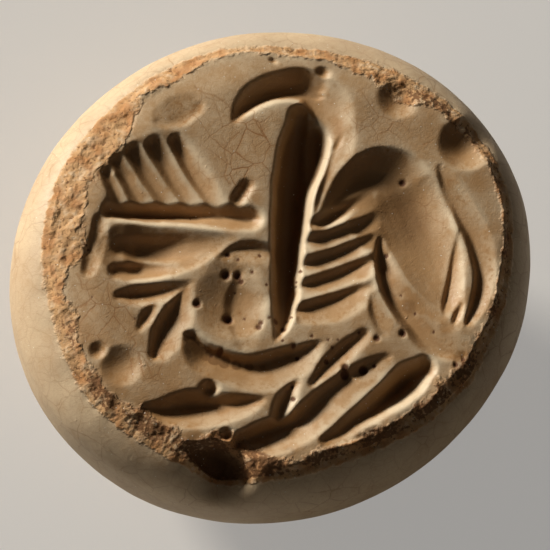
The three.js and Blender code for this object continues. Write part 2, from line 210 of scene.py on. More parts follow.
BEDS = (
    # ground of the upper left wing
    GOUGE.along(
        (-6.5, 5.3, 3.8, 0.08), (-6.2, 4.6, 4.7, 0.16), (-5.95, 3.6, 5.5, 0.24), (-5.85, 3.0, 5.8, 0.27),
        (-5.85, 2.55, 6.0, 0.27), lean=-0.2, blunt=0.4),
    # ground of the panel under the level bar
    GOUGE.along(
        (-7.8, 0.08, 2.7, 0.24), (-7.0, 0.1, 3.0, 0.4), (-6.0, 0.14, 2.95, 0.4), (-5.0, 0.22, 2.6, 0.34),
        (-4.2, 0.34, 2.1, 0.27), (-3.3, 0.54, 1.35, 0.17), (-2.4, 0.8, 0.6, 0.04)),
    # large oval hollow at the right
    DISH.along(
        (5.5, 3.3, 5.0, 0.66), (6.0, 2.4, 5.4, 0.76), (6.5, 1.2, 5.2, 0.74), (7.1, 0.0, 4.5, 0.6),
        (7.6, -1.2, 3.6, 0.44), (8.15, -2.3, 2.6, 0.28), (8.6, -3.2, 1.4, 0.08), lean=0.25),
    # its pointed lower left corner
    DISH.along(
        (2.2, 1.6, 0.7, 0.12), (3.0, 2.6, 1.6, 0.4), (3.9, 3.5, 2.5, 0.62), (4.75, 3.95, 3.2, 0.7),
        (5.4, 3.8, 3.6, 0.66), lean=0.12),
    # shallow body of the figure
    BOWL.along(
        (-2.35, -1.2, 2.8, 0.14), (-2.45, -2.1, 3.9, 0.26), (-2.3, -3.0, 3.9, 0.28),
        (-2.0, -3.8, 2.8, 0.18), (-1.8, -4.4, 1.4, 0.05), lean=0.1),
    # ground of the right wing
    BOWL.along((2.0, -0.9, 2.6, 0.06), (3.1, -0.4, 4.4, 0.15), (4.1, -0.1, 3.8, 0.2), (4.9, 0.2, 2.4, 0.12)),
)
STROKES = (
    # tall central bar, the deepest cut
    GOUGE.along(
        (1.27, 7.25, 1.35, 0.85), (1.2, 6.5, 1.55, 1.2), (1.0, 5.5, 1.9, 1.4), (0.87, 4.3, 2.1, 1.45),
        (0.74, 3.4, 2.04, 1.45), (0.64, 2.6, 1.95, 1.45), (0.54, 1.6, 1.84, 1.4), (0.44, 0.5, 1.65, 1.35),
        (0.38, -0.5, 1.55, 1.25), (0.28, -2.0, 1.37, 1.0), (0.16, -3.0, 1.1, 0.7), (0.0, -3.8, 0.7, 0.35),
        (-0.22, -4.4, 0.3, 0.1), lean=0.1),
    # lower part of the neck, where it runs into the bar
    GOUGE.along(
        (1.7, 6.95, 1.5, 0.75), (1.8, 6.4, 2.1, 1.05), (1.75, 5.8, 2.15, 1.15), (1.6, 5.0, 1.9, 1.1),
        (1.4, 4.0, 1.4, 1.0), (1.2, 3.0, 1.0, 0.8)),
    # level bar to its left
    GRAVER.along(
        (-8.5, 2.12, 1.0, 0.5), (-7.6, 2.1, 1.12, 0.64), (-6.3, 2.1, 1.2, 0.7), (-5.0, 2.05, 1.3, 0.7),
        (-3.9, 1.98, 1.42, 0.64), (-2.6, 1.9, 1.45, 0.52), (-1.42, 1.85, 1.36, 0.46), lean=0.12),
    # shallow upright cut at the far left
    BOWL.along(
        (-9.0, 1.6, 0.9, 0.14), (-9.08, 0.9, 1.0, 0.17), (-9.25, 0.2, 1.05, 0.18), (-9.42, -0.4, 1.05, 0.17),
        (-9.6, -0.95, 0.9, 0.13), lean=-0.2),
    # short cut above the level bar
    GOUGE.along((-2.05, 2.85, 0.8, 0.2), (-1.6, 3.55, 0.75, 0.18)),
    # curved crest at the top
    BOWL.along(
        (-2.15, 7.05, 0.45, 0.12), (-1.7, 7.75, 1.1, 0.4), (-0.95, 8.4, 1.45, 0.6), (0.0, 8.83, 1.65, 0.72),
        (1.2, 8.98, 2.0, 0.72), (2.0, 8.7, 2.05, 0.6), lean=-0.15),
    # neck that the crest turns down into
    BOWL.along(
        (2.0, 8.7, 2.05, 0.58), (2.5, 8.1, 2.5, 0.55), (2.75, 7.3, 2.5, 0.52), (2.9, 6.5, 2.05, 0.45),
        (2.9, 5.9, 1.5, 0.3), lean=-0.5),
    GRAVER.along(
        (3.05, 6.9, 1.8, 0.32), (3.15, 6.2, 1.65, 0.32), (2.98, 5.3, 1.55, 0.3), (2.68, 4.3, 1.25, 0.27),
        (2.36, 3.4, 0.92, 0.22), (2.02, 2.5, 0.56, 0.13), (1.88, 2.1, 0.3, 0.05), lean=-0.15),
    GRAVER.along(
        (3.35, 6.7, 0.4, 0.25), (3.15, 6.1, 0.7, 0.38), (2.82, 5.3, 0.7, 0.34), (2.48, 4.1, 0.6, 0.28),
        (2.16, 3.2, 0.5, 0.22), (1.92, 2.5, 0.35, 0.12)),
    # two curved lines by the right rim, and the nick between their lower ends
    GRAVER.along(
        (8.35, 4.7, 0.5, 0.08), (8.7, 3.8, 1.1, 0.2), (9.3, 2.7, 1.45, 0.28), (9.9, 1.5, 1.45, 0.3),
        (10.2, 0.4, 1.35, 0.3), (10.35, -0.6, 1.2, 0.32), (10.25, -1.5, 1.05, 0.33),
        (9.95, -2.5, 0.9, 0.3), (9.55, -3.3, 0.6, 0.2), lean=-0.5),
    GRAVER.along(
        (9.2, 1.3, 0.4, 0.06), (9.12, 0.3, 0.75, 0.16), (9.0, -0.6, 0.85, 0.2), (8.82, -1.5, 0.85, 0.2),
        (8.58, -2.3, 0.75, 0.18), (8.4, -2.9, 0.4, 0.06), lean=-0.6),
    GRAVER.along((9.15, -2.45, 0.3, 0.1), (8.95, -2.9, 0.5, 0.22), (8.8, -3.3, 0.4, 0.15)),
    # wedge that widens from the fan down to the lower right rim
    GRAVER.along(
        (5.24, 0.95, 0.4, 0.2), (5.27, 0.35, 0.75, 0.42), (5.45, -0.6, 1.2, 0.58), (5.77, -1.5, 1.55, 0.56),
        (6.25, -2.3, 1.8, 0.46), (6.9, -3.05, 2.0, 0.38), (7.55, -3.75, 2.35, 0.32),
        (8.2, -4.35, 2.2, 0.24), (8.9, -4.75, 1.5, 0.12), lean=-0.55),
    GRAVER.along(
        (4.75, -1.3, 0.4, 0.04), (4.9, -2.2, 1.0, 0.14), (5.1, -3.1, 1.2, 0.14), (5.2, -3.9, 0.7, 0.05),
        lean=-0.6),
    # two cuts in the panel under the level bar
    GOUGE.along(
        (-7.9, 0.3, 1.0, 0.18), (-7.0, 0.22, 1.4, 0.32), (-5.8, 0.22, 1.5, 0.28), (-4.6, 0.35, 1.3, 0.12),
        (-3.8, 0.5, 0.8, 0.03), lean=0.1),
    GOUGE.along(
        (-8.2, -1.0, 0.9, 0.24), (-7.4, -1.0, 1.15, 0.34), (-6.4, -0.95, 1.15, 0.28),
        (-5.4, -0.9, 0.8, 0.06), lean=0.15),
    # cut between the panel and the central bar
    GRAVER.along(
        (-2.95, -0.25, 0.4, 0.06), (-2.2, 0.05, 1.0, 0.2), (-1.3, 0.12, 1.2, 0.26), (-0.5, 0.0, 1.1, 0.24),
        lean=0.5),
    # boat-shaped hollow under the body
    GRAVER.along(
        (-4.6, -4.5, 1.0, 0.4), (-4.05, -5.35, 1.6, 0.6), (-3.3, -5.75, 1.65, 0.58),
        (-2.35, -6.1, 1.75, 0.56), (-1.45, -6.23, 1.9, 0.54), (-0.42, -6.07, 2.1, 0.54),
        (0.35, -5.75, 1.95, 0.52), (1.08, -5.38, 1.5, 0.42), (1.58, -4.95, 1.0, 0.28),
        (2.0, -4.6, 0.4, 0.08), lean=0.68),
    # upper left wing
    GRAVER.along(
        (-8.6, 4.25, 0.9, 0.34), (-8.35, 3.6, 1.0, 0.28), (-7.95, 2.6, 0.9, 0.16), lean=-0.2, blunt=0.5),
    GRAVER.along(
        (-8.15, 4.85, 1.0, 0.38), (-7.75, 4.25, 1.15, 0.36), (-7.3, 3.5, 1.15, 0.26), (-6.7, 2.6, 1.1, 0.14),
        lean=-0.2, blunt=0.5),
    GRAVER.along(
        (-7.35, 5.4, 1.0, 0.4), (-6.95, 4.8, 1.2, 0.38), (-6.3, 3.85, 1.25, 0.27), (-5.4, 2.6, 1.15, 0.14),
        lean=-0.2, blunt=0.5),
    GRAVER.along(
        (-6.3, 5.75, 1.0, 0.4), (-5.9, 5.15, 1.25, 0.38), (-5.2, 4.0, 1.3, 0.27), (-4.25, 2.6, 1.25, 0.14),
        lean=-0.2, blunt=0.5),
    GRAVER.along(
        (-5.2, 5.95, 0.8, 0.36), (-4.8, 5.3, 1.05, 0.36), (-4.05, 4.0, 1.15, 0.3), (-3.1, 2.6, 1.05, 0.18),
        lean=-0.2, blunt=0.5),
    # lower left wing
    GRAVER.along(
        (-8.1, -2.3, 0.6, 0.2), (-7.3, -2.28, 1.1, 0.4), (-6.3, -2.15, 1.15, 0.42),
        (-5.3, -1.95, 0.95, 0.26), (-4.5, -1.65, 0.5, 0.06), lean=0.2),
    GRAVER.along((-7.05, -4.0, 0.4, 0.1), (-6.7, -3.4, 0.8, 0.22), (-6.25, -2.75, 0.6, 0.1), lean=0.2),
    GRAVER.along(
        (-6.1, -5.2, 1.1, 0.26), (-5.7, -4.35, 1.7, 0.44), (-5.22, -3.4, 1.65, 0.44),
        (-4.88, -2.6, 1.2, 0.32), (-4.65, -1.9, 0.6, 0.15), lean=0.5),
    # right wing
    GRAVER.along(
        (1.75, 1.52, 0.9, 0.22), (3.0, 2.08, 1.2, 0.34), (4.0, 2.6, 1.2, 0.26), (4.8, 3.2, 1.0, 0.06),
        lean=0.4, blunt=0.5),
    GRAVER.along(
        (1.4, 0.53, 1.2, 0.3), (2.2, 0.78, 1.3, 0.38), (3.0, 1.05, 1.25, 0.4), (4.0, 1.5, 1.15, 0.34),
        (5.0, 2.1, 0.9, 0.08), lean=0.3, blunt=0.4),
    GRAVER.along(
        (1.2, -0.64, 1.15, 0.3), (2.0, -0.38, 1.3, 0.38), (3.0, 0.0, 1.3, 0.4), (4.0, 0.52, 1.2, 0.34),
        (4.9, 1.0, 0.9, 0.12), lean=0.3, blunt=0.4),
    GRAVER.along(
        (1.05, -1.8, 1.2, 0.3), (2.0, -1.52, 1.45, 0.4), (3.0, -1.17, 1.5, 0.42), (4.0, -0.65, 1.4, 0.36),
        (4.9, -0.2, 1.0, 0.14), lean=0.35, blunt=0.4),
    GRAVER.along(
        (0.9, -3.12, 1.1, 0.26), (1.8, -2.88, 1.5, 0.38), (2.8, -2.6, 1.7, 0.42), (3.8, -2.15, 1.55, 0.34),
        (4.7, -1.7, 1.0, 0.12), lean=0.45, blunt=0.4),
    # limbs along the bottom
    GRAVER.along(
        (-6.7, -8.1, 0.7, 0.2), (-5.9, -8.2, 1.4, 0.5), (-5.2, -8.15, 1.85, 0.68), (-4.4, -8.1, 2.1, 0.74),
        (-3.5, -8.05, 1.95, 0.64), (-2.6, -8.0, 1.5, 0.46), (-1.7, -7.8, 1.1, 0.32),
        (-1.1, -7.6, 0.5, 0.15), lean=0.35),
    GRAVER.along(
        (-1.9, -9.85, 1.45, 0.75), (-1.1, -9.65, 1.85, 0.8), (-0.1, -9.3, 1.95, 0.76),
        (0.8, -8.93, 1.85, 0.66), (1.65, -8.27, 1.9, 0.55), (2.4, -7.62, 1.95, 0.45),
        (3.15, -7.0, 1.95, 0.4), (3.82, -6.5, 1.75, 0.35), (4.5, -5.97, 1.4, 0.27),
        (5.2, -5.45, 0.85, 0.12), lean=0.5),
    GRAVER.along(
        (2.2, -9.6, 0.8, 0.2), (2.95, -9.15, 1.15, 0.34), (3.6, -8.6, 1.3, 0.46), (4.33, -8.05, 1.4, 0.62),
        (5.1, -7.48, 1.55, 0.85), (5.85, -6.9, 1.75, 1.05), (6.45, -6.35, 1.85, 1.05),
        (7.15, -5.8, 1.35, 0.7), lean=0.15),
    GRAVER.along(
        (1.6, -6.65, 0.6, 0.16), (2.3, -5.85, 1.0, 0.3), (3.2, -5.0, 1.1, 0.32), (4.2, -4.15, 0.8, 0.18),
        lean=0.3),
    GRAVER.along(
        (-0.1, -8.4, 1.0, 0.5), (0.05, -7.8, 1.05, 0.5), (0.35, -7.2, 0.95, 0.36), (0.75, -6.6, 0.6, 0.16),
        lean=0.2),
    GRAVER.along((3.2, -9.6, 0.3, 0.08), (3.9, -9.25, 0.5, 0.14), (4.6, -8.9, 0.4, 0.1)),
    # curved step in the body
    GRAVER.along(
        (-1.75, -1.3, 1.2, 0.04), (-1.75, -2.1, 1.9, 0.12), (-1.75, -3.0, 2.1, 0.13), (-1.7, -3.8, 1.9, 0.1),
        (-1.8, -4.5, 1.2, 0.03), lean=-0.65),
    # worn dimple at the upper left
    DISH.along((-5.75, 7.1, 1.3, 0.08), (-5.05, 7.42, 1.7, 0.13), (-4.35, 7.75, 1.4, 0.1), lean=-0.5),
    # hollow broken out of the lower rim
    GOUGE.along(
        (-4.6, -10.0, 0.6, 0.4), (-4.0, -10.3, 1.3, 1.0), (-3.3, -10.6, 1.9, 1.5), (-2.6, -10.9, 1.8, 1.5),
        (-2.1, -11.3, 1.2, 1.0)),
)
HOLLOWS = spots(
    (6.2, 8.35, 1.1, 0.28), (9.6, 6.0, 1.45, 0.45), (-8.0, -5.9, 1.1, 0.24), (-9.15, -5.1, 0.5, 0.2),
    (2.4, 9.65, 0.45, 0.2), (-3.65, -7.05, 0.52, 0.5), (-2.8, -9.35, 0.36, 0.4), (-0.1, 10.25, 0.2, 0.15),
)
PITS = spots(
    (-2.73, -1.1, 0.25), (-2.1, -1.12, 0.22), (-1.95, -1.4, 0.15), (-4.2, -2.65, 0.24), (-2.65, -3.38, 0.28),
    (-1.03, -3.55, 0.13), (-1.15, -3.8, 0.16), (-0.6, -3.3, 0.1), (-0.25, -3.45, 0.16), (0.13, -3.85, 0.15),
    (-3.05, -5.08, 0.18), (-3.45, -5.2, 0.1), (0.8, -5.3, 0.13), (0.55, -7.45, 0.14), (0.5, -6.85, 0.1),
    (2.25, -5.5, 0.14), (3.15, -5.8, 0.2), (3.15, -6.15, 0.26), (4.1, -5.88, 0.25), (4.65, -5.7, 0.12),
    (4.78, -4.3, 0.18), (6.1, -4.0, 0.2), (6.42, 4.05, 0.18), (8.75, -5.6, 0.16), (9.15, -5.3, 0.12),
    (5.5, 0.22, 0.13), (-1.4, -0.95, 0.1), (-2.25, -1.97, 0.07), (-0.72, -1.6, 0.07), (-1.8, -3.3, 0.08),
    (0.35, -3.4, 0.08), (0.55, -3.2, 0.08), (0.05, -4.5, 0.08), (0.6, -4.75, 0.13), (1.5, -4.2, 0.1),
    (2.5, -4.8, 0.09), (2.3, -4.4, 0.08), (2.8, -4.4, 0.07), (3.9, -4.0, 0.1), (1.1, -0.75, 0.09),
    (0.9, -1.25, 0.06), (0.85, -1.5, 0.06), (6.8, -2.9, 0.08), (7.7, -3.85, 0.08), (6.1, -1.9, 0.07),
    (-2.1, -0.3, 0.1), (-1.0, -0.05, 0.1), (-2.6, -0.05, 0.14), (-7.3, -3.5, 0.07), (-9.45, -2.4, 0.06),
    (-9.1, 3.95, 0.06), (-4.4, 2.0, 0.06),
)
STAINS = spots(
    (-4.5, -4.5, 0.7, 0.9), (-4.15, -4.85, 0.75, 1.1), (-3.75, -5.1, 0.75, 1.2), (-3.3, -5.35, 0.7, 1.2),
    (-2.8, -5.55, 0.65, 1.1), (-2.25, -5.7, 0.6, 1.0), (-1.6, -5.75, 0.6, 0.9), (-0.9, -5.75, 0.45, 0.8),
    (-0.2, -5.5, 0.45, 0.8), (0.4, -5.2, 0.45, 0.7), (-6.5, -4.0, 4.0, 0.35), (-3.0, -6.9, 3.0, 0.5),
    (4.0, -4.5, 3.0, 0.4), (-5.5, -6.6, 2.8, 0.55), (-7.6, 0.9, 1.4, 0.5), (8.5, 6.5, 2.2, 0.4),
    (5.4, 2.6, 2.6, 0.45), (4.0, 4.0, 1.5, 0.5), (9.4, 6.2, 1.6, 0.5), (5.3, -0.6, 0.6, 0.8),
    (5.9, -1.6, 1.0, 0.8), (6.5, -2.5, 1.1, 0.8), (7.3, -3.3, 1.2, 0.7), (8.2, -3.9, 1.1, 0.6),
    (1.2, -3.0, 0.7, 0.6), (-8.6, -6.9, 2.0, 0.7), (-6.5, -8.7, 2.2, 0.7), (-4.4, -10.0, 2.0, 0.8),
    (-1.0, -10.9, 2.0, 0.8), (2.0, -10.6, 2.0, 0.7), (5.0, -9.3, 2.0, 0.8), (7.4, -7.5, 1.8, 0.8),
    (9.2, -5.6, 1.5, 0.8), (10.9, -2.6, 1.6, 0.6), (11.2, 1.0, 1.6, 0.6), (10.6, 4.2, 1.6, 0.6),
    (8.2, 8.1, 2.0, 0.6), (-10.2, -4.2, 1.3, 0.6), (2.2, -2.5, 0.7, 0.4), (3.0, 5.7, 0.5, 0.6),
    (2.6, 4.6, 0.5, 0.7), (2.3, 3.6, 0.5, 0.7), (2.0, 2.7, 0.5, 0.7), (1.6, 1.9, 0.5, 0.5),
    (-1.7, -7.4, 1.0, 0.7), (0.4, -6.9, 0.5, 0.7), (1.7, -5.7, 0.35, 0.9), (0.4, -3.9, 0.3, 0.7),
    (-2.0, -3.0, 0.25, 0.8), (8.6, 3.9, 0.6, 0.5), (9.7, 1.0, 0.6, 0.5), (9.8, -2.0, 0.8, 0.8),
    (-8.1, 1.0, 0.5, 0.7), (-8.3, 0.1, 0.5, 0.6), (-7.2, 1.2, 0.6, 0.5), (-9.7, 0.2, 0.5, 0.4),
    (-4.9, -4.9, 0.5, 0.7), (-1.3, 2.9, 0.5, 0.6), (-0.7, 1.5, 0.5, 0.6), (-2.2, 1.45, 0.6, 0.6),
    (7.4, -5.4, 0.7, 0.6), (2.6, -9.0, 0.8, 0.5), (0.3, -10.2, 0.8, 0.8), (6.5, 5.3, 0.5, 0.3),
    (-3.4, -10.3, 1.2, 1.0), (0.9, 8.8, 1.6, 0.4), (-0.6, 8.5, 1.2, 0.35), (4.4, -1.2, 0.6, 0.6),
    (0.75, -2.2, 0.16, 1.0), (0.95, -2.6, 0.14, 1.0), (1.05, -1.6, 0.14, 1.0), (1.35, -3.1, 0.16, 0.9),
    (0.7, -3.6, 0.14, 1.0), (-1.7, -3.1, 0.16, 0.8), (1.25, -0.2, 0.12, 1.0), (1.3, 0.4, 0.14, 0.9),
    (1.2, -2.2, 0.12, 0.9),
)
CRAZED = spots(
    (-1.5, 6.0, 2.6, 1.0), (-1.4, 4.2, 2.0, 1.0), (-3.6, 7.2, 2.4, 0.6), (-8.8, -3.0, 2.9, 0.9),
    (-9.3, 3.9, 1.4, 0.5), (5.4, 7.4, 2.6, 0.7), (-6.9, -5.4, 2.0, 0.8), (-3.9, 4.4, 1.6, 0.4),
    (8.2, 2.6, 2.0, 0.3),
)
CRACKS = (
    ((-4.13, 8.74), (-3.77, 8.43), (-3.28, 8.31), (-2.85, 8.06), (-2.55, 7.81), (-2.28, 7.5)),
    ((-2.4, 3.6), (-2.74, 4.05), (-2.6, 4.69), (-2.71, 5.32), (-2.46, 5.84), (-1.96, 6.36)),
    ((-10.2, -1.2), (-10.0, -1.6), (-9.9, -1.95), (-9.4, -2.0), (-9.1, -1.8), (-8.8, -1.55)),
    ((-7.5, -4.4), (-7.3, -4.8), (-7.5, -5.1), (-7.0, -5.4), (-6.7, -5.9), (-6.5, -6.5)),
    ((-10.0, 4.2), (-9.2, 4.4), (-8.7, 4.55), (-8.45, 4.9)),
    ((7.4, 5.9), (7.55, 6.0), (7.8, 6.05)),
    ((8.4, -5.3), (9.0, -5.15), (9.6, -4.9)),
)


@dataclass(frozen=True)
class Figure:
    """Everything cut, worn or stained into the face, measured from the middle of the face."""

    beds: tuple[Stroke, ...] = BEDS
    strokes: tuple[Stroke, ...] = STROKES
    hollows: tuple[Spot, ...] = HOLLOWS
    pits: tuple[Spot, ...] = PITS
    stains: tuple[Spot, ...] = STAINS
    crazed: tuple[Spot, ...] = CRAZED
    cracks: tuple[tuple[Place, ...], ...] = CRACKS


class Relief:
    """How deep the carving lies at a set of points on the face, in millimetres."""

    HAND = 0.03  # how far the hand strays from a drawn line
    HAND_SWELL = 0.9
    HAND_SHIFT = 50.0  # between the hand's straying in x and in y
    REACH = 0.3
    TOOLING = 0.025  # unevenness of a groove along its length, as a share of its depth
    TOOLING_SIZE = (0.1, 2.2)  # across a groove and along it
    TOOLING_LEVEL = 7.7
    CRACK_WIDTH = 0.07
    CRACK_CORE = 0.02
    PIT_DEPTH = 0.9  # as a share of its radius
    PIT_FLOOR = 0.25  # where a pit's floor starts, as a share of its radius
    PIT_SOIL = (1.15, 0.7)  # where the soil in a pit ends and is full
    FULL_MARK = 0.2  # where a mark is full, as a share of its radius

    def __init__(self, x: np.ndarray, y: np.ndarray, grain: Grain) -> None:
        """Start with an uncut face.

        Args:
            x: Place of each point to the figure's right.
            y: Place of each point towards its top.
            grain: Noise for the unevenness of the hand.
        """
        flat = np.stack([x, y, np.zeros_like(x)], axis=1)
        self._grain = grain
        self._x = x + self.HAND * grain.layered(flat, self.HAND_SWELL)
        self._y = y + self.HAND * grain.layered(flat + self.HAND_SHIFT, self.HAND_SWELL)
        self.depth, self.pitted, self.stained, self.cracked, self.crazed = np.zeros((5, len(x)))

    def _away(self, spot: Spot) -> np.ndarray:
        """Distance of each point from a round patch, where 1 is its edge."""
        return np.hypot(self._x - spot.x, self._y - spot.y) / spot.radius

    def _near(self, path: np.ndarray, reach: float) -> tuple[np.ndarray, ...]:
        """Find the points near a path.

        Args:
            path: Rows that start with x and y.
            reach: How far from the path's box a point may lie.

        Returns:
            The points' numbers, the row of the path that is closest to each, and its x and y from it.
        """
        low, high = path[:, :2].min(axis=0) - reach, path[:, :2].max(axis=0) + reach
        inside = (self._x > low[0]) & (self._x < high[0]) & (self._y > low[1]) & (self._y < high[1])
        near = np.flatnonzero(inside)
        x, y = self._x[near], self._y[near]
        closest = ((x[:, None] - path[:, 0]) ** 2 + (y[:, None] - path[:, 1]) ** 2).argmin(axis=1)
        return near, closest, x - path[closest, 0], y - path[closest, 1]

    def cut(self, stroke: Stroke, sunk: np.ndarray) -> None:
        """Cut one stroke.

        Args:
            stroke: The stroke to cut.
            sunk: The depths that it is cut into.
        """
        path = stroke.followed()
        near, closest, x, y = self._near(path, path[:, 2].max() / 2 + self.REACH)
        _, _, width, depth, way_x, way_y = path[closest].T
        along = x * way_x + y * way_y
        side = y * way_x - x * way_y
        past_end = np.where((closest == 0) | (closest == len(path) - 1), along / stroke.blunt, 0.0)
        across = np.hypot(side, past_end) / (width / 2)
        signed = np.where(side >= 0, across, -across)
        lean = stroke.lean
        off_bottom = np.where(signed > lean, (signed - lean) / (1 - lean), (lean - signed) / (1 + lean))
        fine, long = self.TOOLING_SIZE
        level = np.full_like(side, self.TOOLING_LEVEL)
        lines = np.stack([side / fine, closest * stroke.SPACING / long, level], axis=1)
        tooling = 1.0 + self.TOOLING * self._grain.at(lines, 1.0)
        sunk[near] = np.maximum(sunk[near], depth * stroke.section.share(off_bottom) * tooling)

    def drill(self, spot: Spot) -> None:
        """Turn one hollow with the drill."""
        self.depth = np.maximum(self.depth, spot.strength * BOWL.share(self._away(spot)))

    def pit(self, spot: Spot) -> None:
        """Sink a natural pit into whatever surface is there."""
        self.depth += self.PIT_DEPTH * spot.radius * smooth_step(1.0, self.PIT_FLOOR, self._away(spot))
        self.pitted = np.maximum(self.pitted, smooth_step(*self.PIT_SOIL, self._away(spot)))

    def mark(self, spot: Spot, marked: np.ndarray) -> None:
        """Add a soft patch to some marks."""
        drawn = spot.strength * smooth_step(1.0, self.FULL_MARK, self._away(spot))
        np.maximum(marked, drawn, out=marked)

    def crack(self, places: Iterable[Place]) -> None:
        """Draw a fine crack.

        Args:
            places: The turns of the crack.
        """
        width = self.CRACK_WIDTH
        path = GRAVER.along(*((x, y, width, width) for x, y in places)).followed()
        near, _, x, y = self._near(path, width)
        drawn = smooth_step(width, self.CRACK_CORE, np.hypot(x, y))
        self.cracked[near] = np.maximum(self.cracked[near], drawn)

    def carve(self, figure: Figure) -> None:
        """Cut, pit and stain the whole figure.

        Args:
            figure: The figure.
        """
        bed = np.zeros_like(self.depth)
        for stroke in figure.beds:
            self.cut(stroke, bed)
        for stroke in figure.strokes:
            self.cut(stroke, self.depth)
        self.depth += bed
        for spot in figure.hollows:
            self.drill(spot)
        for spot in figure.pits:
            self.pit(spot)
        for spot in figure.stains:
            self.mark(spot, self.stained)
        for spot in figure.crazed:
            self.mark(spot, self.crazed)
        for places in figure.cracks:
            self.crack(places)


@dataclass(frozen=True)
class Profile:
    """The pebble's form before it is carved: ovals of one direction, one above the other."""

    height: float = 14.0
    face_length: float = 23.6
    face_width: float = 21.7
    end_bulge: float = 1.7
    side_bulge: float = 1.55
    belt_drop: float = 3.2
    rim_drop: float = 0.3
    back_flat: float = 8.4
    dome_fullness: float = 2.25
    flank_fullness: float = 0.93
    turn: float = math.radians(30)

    # how far the rim strays from a true oval, by the angle round the face in degrees
    RIM_ANGLES = (7, 17, 28, 36, 46, 57, 70, 84, 98, 110, 125, 140, 152, 164, 177, 188, 198, 209,
                  219, 231, 243, 254, 266, 283, 297, 313, 327, 336, 349, 360)
    RIM_STRAYS = (0.07, 0.2, 0.28, 0.22, 0.02, -0.18, -0.34, -0.33, 0.01, 0.12, 0.14, 0.07, 0.18,
                  0.19, 0.05, -0.12, -0.26, -0.12, 0.12, -0.08, 0.08, 0.26, 0.23, -0.24, -0.22,
                  0.01, 0.25, -0.07, -0.09, -0.04)

    @property
    def belt_height(self) -> float:
        """Height of the widest belt."""
        return self.height - self.belt_drop

    @property
    def belt_along(self) -> float:
        """Half length of the widest belt."""
        return self.face_length / 2 + self.end_bulge

    @property
    def belt_across(self) -> float:
        """Half width of the widest belt."""
        return self.face_width / 2 + self.side_bulge

    def turned(self, u: np.ndarray, v: np.ndarray, z: np.ndarray) -> np.ndarray:
        """Rows of x, y and z of places that lie u along the stone and v across it."""
        cos, sin = math.cos(self.turn), math.sin(self.turn)
        return np.stack([u * cos - v * sin, u * sin + v * cos, np.broadcast_to(z, u.shape)], axis=-1)

    def oval(self, angle: np.ndarray, along: np.ndarray, across: np.ndarray, z: np.ndarray) -> np.ndarray:
        """Rows of x, y and z at angles from the long axis, on ovals of these half lengths and widths."""
        return self.turned(along * np.cos(angle), across * np.sin(angle), z)

    def rim(self, angle: np.ndarray) -> np.ndarray:
        """Points of the rim, as it was before it was chipped.

        Args:
            angle: Angle round the rim from the long axis.

        Returns:
            Rows of x, y and z, at the height of the face.
        """
        true = self.oval(angle, self.face_length / 2, self.face_width / 2, self.height)
        degrees = np.degrees(np.arctan2(true[:, 1], true[:, 0])) % 360
        stray = np.interp(degrees, self.RIM_ANGLES, self.RIM_STRAYS, period=360)
        out = true[:, :2] / np.linalg.norm(true[:, :2], axis=1, keepdims=True)
        true[:, :2] += out * stray[:, None]
        return true

    def flank(self, angle: np.ndarray, climb: float) -> np.ndarray:
        """Points round the flank.

        Args:
            angle: Angle round the flank from the long axis.
            climb: How far up from the belt, where 1 is the rim.

        Returns:
            Rows of x, y and z.
        """
        turned_in = math.sqrt(1 - self.flank_fullness**2)
        share = (math.sqrt(1 - (self.flank_fullness * climb) ** 2) - turned_in) / (1 - turned_in)
        along = self.face_length / 2 + self.end_bulge * share
        across = self.face_width / 2 + self.side_bulge * share
        z = self.belt_height + (self.belt_drop - self.rim_drop) * climb
        return self.oval(angle, along, across, z)

    def back(self, angle: np.ndarray, radius: np.ndarray, flat_radius: float) -> np.ndarray:
        """Points of the domed back.

        Args:
            angle: Angle round the back from the long axis.
            radius: 0 in the middle of the back and 1 on the belt.
            flat_radius: Radius at which the worn flat ends.

        Returns:
            Rows of x, y and z.
        """
        fullness = self.dome_fullness
        flat_share = self.back_flat / (2 * self.belt_along)
        start = math.acos(flat_share ** (fullness / 2))
        reach = self.belt_height / (1 - flat_share**fullness) ** (1 / fullness)
        tip = start * (1 - np.clip((radius - flat_radius) / (1 - flat_radius), 0.0, 1.0))
        dome = np.cos(tip) ** (2 / fullness)
        share = np.where(radius < flat_radius, flat_share * radius / flat_radius, dome)
        z = np.maximum(self.belt_height - reach * np.sin(tip) ** (2 / fullness), 0.0)
        return self.oval(angle, self.belt_along * share, self.belt_across * share, z)


@dataclass
class Skin:
    """A stretch of the stone's surface, with what is marked on each of its points."""

    points: np.ndarray
    marks: dict[str, np.ndarray]
    faces: list[tuple[int, ...]] = field(default_factory=list)
    corners: list[Place] = field(default_factory=list)

    def add_faces(self, faces: np.ndarray, corners: np.ndarray) -> None:
        """Add rows of point numbers, anticlockwise from outside, with their places unrolled."""
        self.faces.extend(map(tuple, faces.tolist()))
        self.corners.extend(map(tuple, corners.reshape(-1, 2).tolist()))


# the slope mark away from the light paints shade and highlight; the depth, hollow and face marks darken the
# stone as soil and as painted shade
MARKS = ("crust", "recess", "cavity", "shade_side", "stain", "pit", "crack", "crazed", "face_soil_and_shade")


